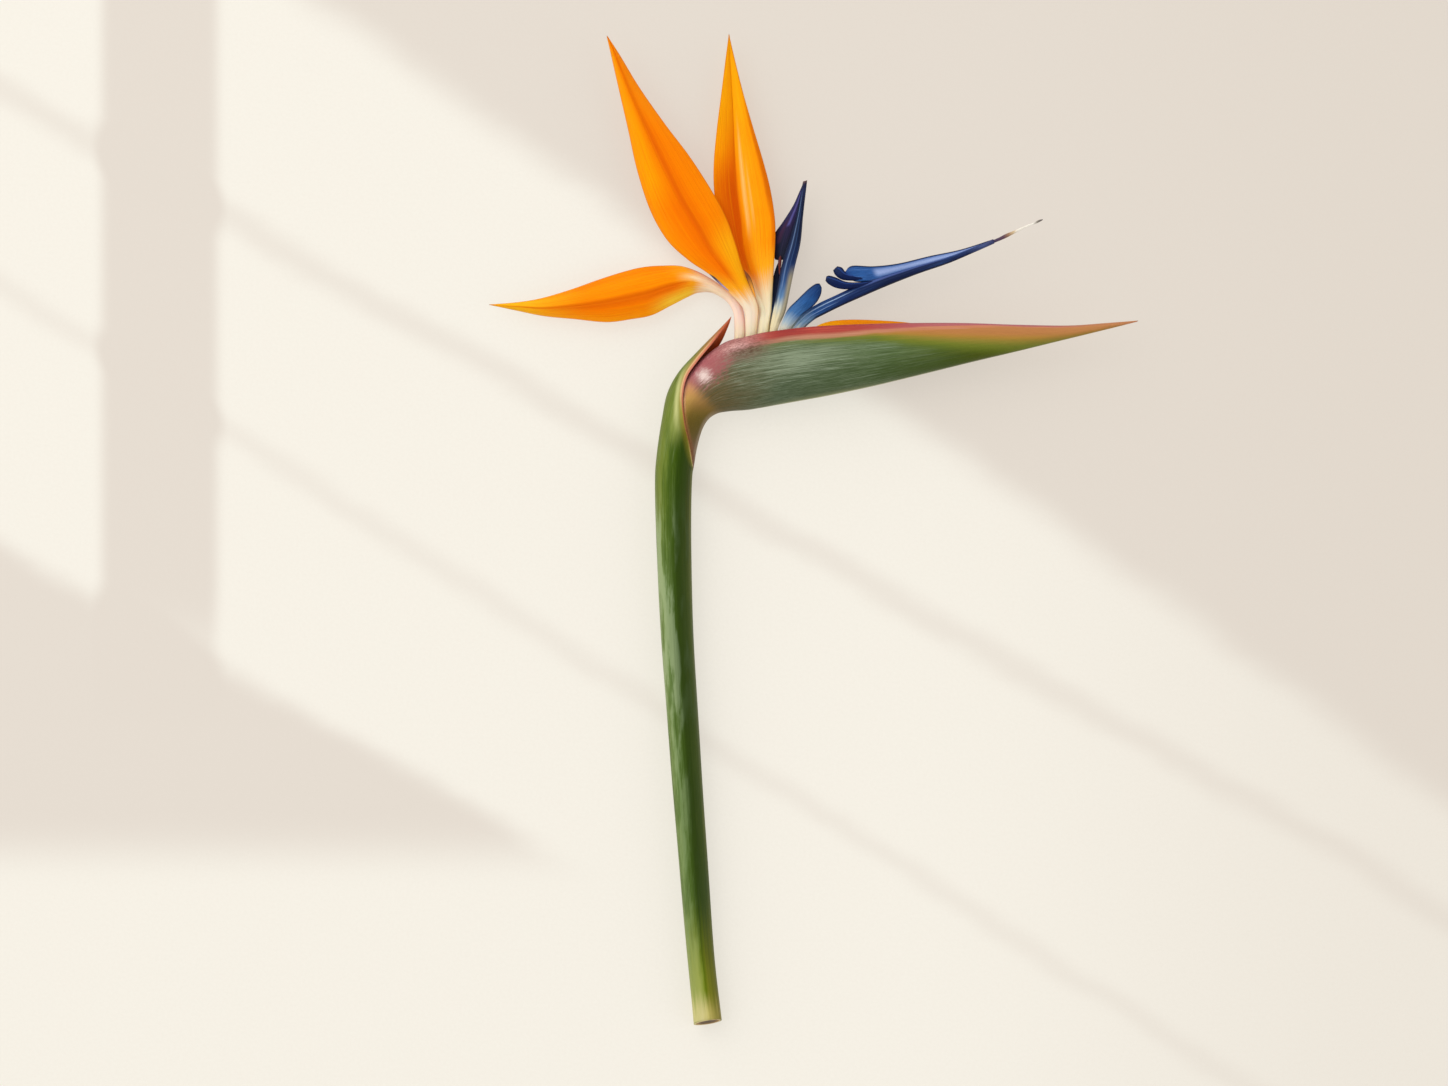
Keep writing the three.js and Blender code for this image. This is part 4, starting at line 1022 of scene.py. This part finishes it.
TONGUE_FORWARD_WING = [
    [11.8, 93.2, 0.5, 12.2, 92.4, 0.4, 12.8, 91.2, 0.2, 1.4],
    [14.2, 95.2, 0.9, 15, 92.4, 0.5, 16, 89.4, 0.2, 1.4],
    [22, 95, 1.2, 23, 92.6, 0.6, 24, 90.2, 0.2, 1.2],
    [31, 96, 1.2, 32, 94.6, 0.6, 33, 93, 0.2, 1.1],
    [42, 98.6, 1, 43, 97.2, 0.6, 44, 96.2, 0.2, 1],
    [53, 100.9, 0.6, 53.6, 100, 0.4, 54.2, 99.6, 0.2, 0.9],
    [63.5, 104.2, 0.2, 63.5, 104, 0.2, 63.5, 103.8, 0.2, 0.6],
]
BARB_LOW = [
    [24, 88.9, 0.2, 24, 89.6, 0.3, 24, 90.3, 0.2, 1.4],
    [17, 87.3, 0.5, 17, 88.3, 0.7, 17, 89.3, 0.5, 1.6],
    [12, 86.7, 0.9, 12, 88.1, 1.2, 12, 89.5, 0.9, 1.6],
    [8.2, 87.3, 1.1, 8.2, 89.2, 1.5, 8.2, 91.1, 1.1, 1.5],
    [5.6, 88.7, 1.1, 5.7, 90.3, 1.3, 5.9, 91.7, 1.1, 1.2],
    [4.6, 89.9, 1, 4.8, 90.7, 1, 4.9, 91.3, 1, 0.8],
]
BARB_MIDDLE = [
    [18, 89.8, 0.3, 18, 90.8, 0.3, 18, 91.8, 0.3, 1.4],
    [12.6, 89.9, 0.3, 13.2, 91.1, 0.5, 13.6, 92.4, 0.3, 1.5],
    [9.9, 90.5, 0.3, 10.8, 91.9, 0.7, 11.9, 93, 0.3, 1.5],
    [8.1, 92, 0.2, 9.2, 93.3, 0.5, 10.6, 94.6, 0.2, 1.3],
    [7.4, 93.6, 0.1, 8.1, 94.4, 0.1, 8.9, 95.1, 0.1, 0.9],
]
STYLE = [
    [64.9, 104.35, 65.3, 103.35, 0, 0.6],
    [67.4, 105.5, 67.9, 104.4, 0, 0.7],
    [69.3, 106.5, 69.9, 105.3, 0, 0.65],
    [72.1, 107.6, 72.5, 106.7, 0, 0.5],
    [76.2, 109.4, 76.5, 108.7, 0, 0.4],
    [79.8, 110.8, 80.1, 110.2, 0, 0.35],
    [81.2, 111.5, 81.5, 110.8, 0, 0.4],
    [82.5, 111.8, 82.6, 111.5, 0, 0.15],
]


def stalk_ridges(depth):
    """Lengthwise grooves on a tongue's stalk, fading at both ends."""
    def relief(t, angle):
        return -depth * np.cos(9 * angle) * ramp(t, 0.08, 0.25) * ramp(t, 1.0, 0.9)
    return relief


def petal_finish(name, stops, pale, lines=(), rim=0.6, calm=0.25, streaky=0.35):
    """Blue petals: the colours along the piece, with fine streaks, lines, which are stripes, and a
    dark rim in mm. The fine streaks and the rim start where the piece is no longer calm."""
    m = Finish(name, specular=0.25, gloss=BLUE_GLOSS)
    streak = m.fibre(1.6, 0.06, 5)
    fine = m.fibre(7.0, 0.3, 4)
    wander = streak - 0.5
    colour = m.colours(m.t + wander * 0.12, stops)
    blue = m.t.ease(calm, calm + 0.2)
    colour = m.coat(colour, [
        (streak.ease(0.5, 0.7) * streaky * blue, pale),
        (fine.ease(0.55, 0.42) * 0.4 * blue, "080e2c"),
    ])
    colour = m.stripes(colour, m.u, lines, rise=0.05, fall=0.1)
    if rim:
        colour = m.blend(m.edge.ease(rim, 0.1) * blue * 0.9, colour, "0a1030")
    return m.finish(colour, fine * 0.5 + streak, 0.12, roughness=0.42)


def base_finish():
    m = Finish("floret_flesh", specular=0.35)
    streak = m.noise(m.place, (1.2, 0.12, 1.2), 5)
    colour = m.blend(streak.ease(0.35, 0.7), "efe0b0", "e0c48c")
    return m.finish(colour, streak, 0.1, roughness=0.45)


def style_finish():
    m = Finish("style_skin", specular=0.3)
    streak = m.fibre(3.0, 0.2, 5)
    run = m.x.slide(65, 83) + (streak - 0.5) * 0.1
    colour = m.colours(run, "0 3c2f52, 0.2 5a3e4e, 0.3 9a7558, 0.4 cdb48c, 0.47 ece6d8, 0.78 f0ebe0, "
                       "0.86 8c8478, 1 3a3038")
    return m.finish(colour, streak, 0.15, roughness=0.5)


# Thin ends of filaments that show between the claws; the left one is partly painted shade of the gap it lies
# in
FILAMENT_AND_SHADE_LEFT = [
    [-30, 86, 1.6, -30.2, 86.4, 1.7, -30.4, 86.8, 1.6, 0.5],
    [-32.4, 87.8, 1.75, -32.6, 88.4, 1.85, -32.8, 89, 1.75, 0.5],
    [-34.9, 90, 1.8, -35.1, 90.7, 1.9, -35.3, 91.4, 1.8, 0.45],
    [-37.1, 92.3, 1.6, 0.4],
]
FILAMENT_MIDDLE = [
    [-20.7, 84, 1.5, -20.6, 84, 1.6, -20.5, 84, 1.5, 0.5],
    [-22.3, 87.2, 1.9, -21.7, 87.3, 2, -21.1, 87.4, 1.9, 0.6],
    [-23.8, 90.8, 2.2, -23.1, 91, 2.3, -22.4, 91.2, 2.2, 0.5],
    [-24.7, 93.9, 2.2, 0.4],
]
FILAMENT_RIGHT = [
    [-12, 92.2, -0.5, -11.8, 92.2, -0.4, -11.6, 92.2, -0.5, 0.5],
    [-12.2, 94.6, -0.4, -11.8, 94.6, -0.3, -11.4, 94.6, -0.4, 0.6],
    [-12.4, 97, -0.3, -11.8, 97, -0.2, -11.1, 97, -0.3, 0.6],
    [-11.7, 98.9, -0.2, -11.5, 98.9, -0.2, -11.3, 98.9, -0.2, 0.4],
]


def filament_finish(name, body, tip, rim):
    m = Finish(name, specular=0.3)
    streak = m.fibre(5.0, 0.3, 4)
    colour = m.blend(m.t.ease(0.2, 0.75), body, tip)
    colour = m.blend(abs(m.u).ease(0.55, 0.9) * 0.85, colour, rim)
    return m.finish(colour, streak, 0.08, roughness=0.45)


# Building

place(make_stem(), stem_finish(), "stem_green", "stem")
place(make_spathe(), spathe_finish(), "spathe_green", "spathe")
for node in ("floret_base_older", "floret_base_younger"):
    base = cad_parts[node]
    base.data.materials.clear()
    base.data.materials.append(base_finish())


def sepal(node, part, rows, spacing, columns, skin, **shape):
    """Builds a sepal; its skin is what sepal_finish asks for after the name."""
    piece = blade(rows, spacing, columns, **shape).build(f"{node}_{part}")
    place(piece, sepal_finish(f"{node}_skin", **skin), "sepal_orange", node)


# Across the drooping sepal the colours darken just under its crease and a dark streak runs on it: partly its
# own deeper orange, partly painted shade of the fold. Its pale cream streak by the neck is a painted
# highlight, and its yellow lower margin is its own yellow brightened with painted light.
sepal("sepal_drooping", "blade", SEPAL_DROOPING, SEPAL_STEP, 72, dict(
    claw=cream_claw("e8b8a4", "d67c8c", "f6c6b8", "fcdccc"), claw_end=(0.3, 0.4), tip=(0.74, 0.96, "ffc820"),
    across="0 ff9c06, 0.12 ff9200, 0.34 f67a00, 0.46 de6200, 0.53 ec7400, 0.6 fc8e00, 0.8 fe9200, "
           "0.92 fa8600, 1 f08808",
    streaks=[(-0.8, 0.34, 0.6, 0.7, "ffce38", 0.95), (0.35, 0.3, 0.47, 0.35, "fff4d0", 0.95),
             (-0.1, 0.34, 0.44, 0.5, "f09a10", 0.6), (0.02, 0.4, 1.1, 0.18, "dc6400", 0.8)],
), crease_width=0.12, groove=0.12, crown=0.5, spread=0.16, seed=1.0)
# On the tall left sepal the dark line by its crease is partly its own deeper orange and partly painted shade
# of the fold, and its lighter left strip is partly painted light from the left.
sepal("sepal_tall_left", "blade", SEPAL_TALL_LEFT, SEPAL_STEP, 80, dict(
    claw=cream_claw("e8c09c", "b8763c", "fad8b0", "fcead2"), claw_end=(0.172, 0.262),
    across="0 f08a10, 0.08 fe9000, 0.2 fc8400, 0.36 f87800, 0.46 f67400, 0.54 e86600, 0.6 f27200, "
           "0.72 fe8400, 0.9 ff8a00, 1 f88a04",
    streaks=[(-0.55, 0.56, 1.2, 0.75, "ffa200", 0.9), (0.1, 0.36, 0.98, 0.14, "dc5c00", 0.55),
             (0.5, 0.72, 1.2, 0.5, "ff9406", 0.6), (0.72, 0.2, 0.52, 0.75, "ffb210", 0.9)],
), crease_width=0.12, groove=0.2, crown=0.6, spread=0.16, seed=2.0)
# On the tall right sepal the colours and streaks paint the light on its channel: its left wall, darker
# towards the crease, and its darker folded right margin are painted shade, and the two narrow pale streaks
# right of the crease are painted highlights.
sepal("sepal_tall_right", "blade", SEPAL_TALL_RIGHT, SEPAL_STEP, 72, dict(
    claw=cream_claw("e4c494", "e4cc94", "f8ecca", "faeecc"), claw_end=(0.2, 0.33), tip=(0.62, 0.84, "ffb008"),
    across="0 ff9c02, 0.2 f88c00, 0.4 ec6c00, 0.5 de5a00, 0.54 ff9c04, 0.64 ffac14, 0.84 ff9e04, "
           "0.93 fc9404, 0.965 dc6c00, 1 d06808",
    streaks=[(-0.62, 0.3, 0.72, 0.8, "dc5c00", 0.8), (-0.25, 0.26, 0.7, 0.45, "d45000", 0.85),
             (0.24, 0.42, 0.8, 0.09, "ffcb74", 0.8), (0.14, 0.24, 0.52, 0.32, "f07c00", 0.75),
             (0.4, 0.45, 0.7, 0.06, "ffc868", 0.6), (0.93, 0.5, 0.86, 0.16, "c45c00", 0.8),
             (-0.04, 0.55, 0.95, 0.1, "e06800", 0.7)],
), crease_width=0.03, crown=0.5, spread=0.16, seed=3.0)
sepal("sepal_folded", "strip", SEPAL_FOLDED, 0.6, 40, dict(
    claw=cream_claw("e0a040", "e0a040", "ffc040", "f8d890"), claw_end=(0.02, 0.2),
    across="0 ffac10, 0.5 f07c04, 1 ff9a08", streaks=[(-0.9, 0.3, 0.9, 0.5, "e87c0c", 0.6)],
), vein=0.02, swell=0.05)


def petal(body, name, node, skin, *colours, **habits):
    """Builds a blue piece; its colours and habits are what petal_finish asks for after the name."""
    place(body.build(name), petal_finish(skin, *colours, **habits), "petal_blue", node)


petal(blade(HOOD_OLDER, 0.4, 32, vein=0.02, veins=4, swell=0.05, spread=0.1),
      "hood_older_lobe", "hood_petal_older", "hood_older_skin",
      "0 ecdfb4, 0.2 e0d8b8, 0.3 8c9cac, 0.4 2c406c, 0.52 101838, 0.75 100e20, 1 140c18",
      "1c3060", streaky=0.2)
petal(blade(HOOD_YOUNGER, PETAL_STEP, 40, vein=0.05, veins=5, swell=0.05),
      "hood_younger_lobe", "hood_petal_younger", "hood_younger_skin",
      "0 f0e4c0, 0.22 e4e0cc, 0.31 a8bcc8, 0.44 4474ac, 0.6 285c9c, 0.78 143c78, 1 0c2858",
      "4c7cb8", rim=0.9, calm=0.3)
petal(limb(TONGUE_UPRIGHT, PETAL_STEP, 64, stalk_ridges(0.09)),
      "tongue_upright_stalk", "tongue_upright", "tongue_upright_skin",
      "0 ecdcae, 0.2 e0d2aa, 0.27 bcc0b4, 0.33 5c80a8, 0.42 264a7e, 0.52 102452, 0.66 0a1638, 0.8 0a1234, "
      "0.93 201c40, 0.97 1c1424, 1 6c4c40", "2c4c84", rim=0, calm=0.3, streaky=0.25,
      lines=[(0.9, 0.14, 0.52, 0.42, "a49878", 0.95), (0.34, 0.35, 0.94, 0.08, "7088b0", 0.7),
             (0.62, 0.45, 0.85, 0.06, "405c8c", 0.6), (0.05, 0.26, 0.92, 0.2, "080c28", 0.9),
             (0.85, 0.6, 0.95, 0.3, "080c28", 0.7)])
# The upright tongue's wing: its lighter violet line is partly its own violet, partly a painted sheen.
petal(blade(TONGUE_UPRIGHT_WING, PETAL_STEP, 40, veins=5, swell=0.05),
      "tongue_upright_wing", "tongue_upright", "tongue_upright_wing_skin",
      "0 0c0610, 0.25 180a1e, 0.45 2a163a, 0.7 342c60, 1 1c1830", "402c58", calm=0.0, streaky=0.25,
      lines=[(0.2, 0.4, 0.97, 0.35, "5c5498", 0.75), (-0.2, 0.2, 0.55, 0.4, "48203c", 0.6)])
# On the forward tongue the dark line along the stalk's lower edge is painted shade, its pale lines are partly
# painted highlights on the stalk's ridges, and the broad pale blue streak along the wing is a painted
# highlight.
petal(limb(TONGUE_FORWARD, PETAL_STEP, 64, stalk_ridges(0.08)),
      "tongue_forward_stalk", "tongue_forward", "tongue_forward_skin",
      "0 eee3c2, 0.09 d8dccc, 0.16 7ca0c0, 0.26 2c5898, 0.4 183068, 0.6 0e1840, 0.88 1a2250, "
      "0.95 4a527c, 1 3c3458", "3a64a4", rim=0, calm=0.12,
      lines=[(0.3, 0.08, 0.5, 0.06, "a4c0e4", 0.9), (0.6, 0.1, 0.42, 0.05, "88a8d8", 0.75),
             (0.2, 0.5, 0.97, 0.2, "5468a8", 0.7), (0.98, 0.2, 0.95, 0.25, "080c28", 0.9)])
petal(blade(TONGUE_FORWARD_WING, PETAL_STEP, 40, veins=5, swell=0.05),
      "tongue_forward_wing", "tongue_forward", "tongue_wing_skin",
      "0 183474, 0.2 2c5ca0, 0.45 3c68b0, 0.7 4868b0, 0.88 34509a, 1 242c64", "6c94d0", calm=0.0,
      lines=[(-0.1, 0.3, 0.97, 0.9, "a8bcec", 0.8), (-0.95, 0.1, 0.98, 0.3, "10204c", 0.6)])
barb = petal_finish("tongue_barb_skin", "0 081444, 0.5 0a1a4c, 1 061038", "244494", calm=0.0, streaky=0.2,
                    lines=[(0.4, 0.1, 0.95, 0.2, "3458a8", 0.4)])
for name, rows in (("tongue_barb_low", BARB_LOW), ("tongue_barb_middle", BARB_MIDDLE)):
    body = blade(rows, 0.3, 32, vein=0.02, veins=4, swell=0.04)
    place(body.build(name), barb, "petal_blue", "tongue_forward")

place(limb(STYLE, 0.25, 32).build("style_thread"), style_finish(), "style_white", "style_forward")
# The left filament's dark tip and rim partly stand in for the shade in the gap between the drooping and the
# tall left sepal's claws: painted shade.
for name, rows, tones in (
    ("filament_and_shade_left", FILAMENT_AND_SHADE_LEFT, ("b09cc0", "2c1a2c", "54406c")),
    ("filament_middle", FILAMENT_MIDDLE, ("f0a030", "7c4010", "6a2e08")),
    ("filament_right", FILAMENT_RIGHT, ("6c2014", "581c18", "481818")),
):
    skin = filament_finish(f"{name}_skin", *tones)
    place(blade(rows, 0.3, 16, vein=0, swell=0).build(name), skin, "style_white")


# Floor, light and camera

FLOOR_GLOW = 0.7  # share of the floor's brightness that it gives off itself as painted glow, though it is no lamp, which keeps shadows soft
FLOOR_REACH = 6000  # distance from the middle to each side of the floor
SKY_STRENGTH = 0.95


def floor_finish():
    """Pale paper with painted window light: slanting bands of soft painted light and shade."""
    m = Finish("floor_paper", specular=0.05)
    grain = m.noise(m.place, (0.9, 0.9, 0.9), 5)
    cloud = (m.noise(m.place, (0.02, 0.03, 0.02), 3) - 0.5) * 12

    def past(slope, offset):
        """Distance below a slanting line, in mm."""
        return offset - m.y - m.x * slope + cloud

    light = past(0.709, 65).ease(-16, 16)
    light = light - past(0.57, -8).band(0, 13) * 0.5
    light = light - past(0.644, -100).band(0, 12) * 0.4
    # Painted shadow of a window bar, and painted shade in a corner
    bar_shadow = m.x.ease(-262, -252) * m.x.ease(-210, -220) * m.y.ease(-75, -15)
    corner_shade = past(0.5625, -168).ease(-8, 10) * m.y.ease(-135, -100)
    light = light - bar_shadow * 0.95 - corner_shade * 0.9
    colour = m.coat(m.blend(light.ease(0, 1), "e4dbd0", "f6f1e6"), [
        (m.x.ease(20, 230) * 0.35, "dcd2c6"),
        (grain.ease(0.3, 0.8) * 0.08, "dcd4c6"),
    ])
    # The floor glows with light of its own, though it is no lamp
    m.set("Emission Color", colour)
    m.set("Emission Strength", FLOOR_GLOW)
    lit = m.blend(FLOOR_GLOW, colour, "000000")
    return m.finish(lit, grain, 0.05, roughness=0.85)


def make_floor():
    mesh = bpy.data.meshes.new("floor")
    reach = FLOOR_REACH * MM
    corners = [(-reach, -reach, 0), (reach, -reach, 0), (reach, reach, 0), (-reach, reach, 0)]
    mesh.from_pydata(corners, [], [(0, 1, 2, 3)])
    floor = bpy.data.objects.new("floor", mesh)
    bpy.context.scene.collection.objects.link(floor)
    floor.data.materials.append(floor_finish())


def area_light(name, spot, aim, size, power, colour):
    """A square light at a spot that points at its aim."""
    data = bpy.data.lights.new(name, "AREA")
    data.size = size * MM
    data.energy = power
    data.color = colour
    lamp = bpy.data.objects.new(name, data)
    lamp.location = Vector(spot) * MM
    lamp.rotation_euler = (Vector(aim) - Vector(spot)).to_track_quat("-Z", "Y").to_euler()
    bpy.context.scene.collection.objects.link(lamp)


def make_sky():
    """A pale studio: bright low down all round, dimmer overhead."""
    world = bpy.data.worlds.new("studio")
    bpy.context.scene.world = world
    world.use_nodes = True
    tree = world.node_tree
    backdrop = tree.nodes["Background"]
    backdrop.inputs["Strength"].default_value = SKY_STRENGTH
    direction = tree.nodes.new("ShaderNodeTexCoord").outputs["Generated"]
    height = tree.nodes.new("ShaderNodeSeparateXYZ")
    tree.links.new(direction, height.inputs[0])
    fade = tree.nodes.new("ShaderNodeValToRGB")
    ends = ((0.25, (1.0, 0.99, 0.97, 1)), (0.9, (0.5, 0.49, 0.48, 1)))
    for point, (position, colour) in zip(fade.color_ramp.elements, ends):
        point.position, point.color = position, colour
    tree.links.new(height.outputs[2], fade.inputs[0])
    tree.links.new(fade.outputs[0], backdrop.inputs["Color"])


PHOTO_WIDTH = 1448  # pixels
PIXEL = 0.36  # size of a pixel of the photograph at the flower's height
VIEW_CENTRE = (-31.86, -4.5, 9.0)
LENS, SENSOR = 135.0, 36.0


def make_camera():
    """Looks straight down on the flower from where one pixel of the photograph is PIXEL wide."""
    data = bpy.data.cameras.new("camera")
    data.lens, data.sensor_width, data.sensor_fit = LENS, SENSOR, "HORIZONTAL"
    camera = bpy.data.objects.new("camera", data)
    distance = PHOTO_WIDTH * PIXEL * LENS / SENSOR
    camera.location = (Vector(VIEW_CENTRE) + Vector((0, 0, distance))) * MM
    bpy.context.scene.collection.objects.link(camera)
    bpy.context.scene.camera = camera


make_floor()
make_sky()
area_light("key", (-950, 750, 1000), (-20, 20, 0), 1900, 18.0, (1.0, 0.98, 0.95))
area_light("fill", (1000, -300, 700), (0, 20, 0), 1000, 3.0, (0.96, 0.98, 1.0))
make_camera()
bpy.context.scene.view_settings.view_transform = "Standard"
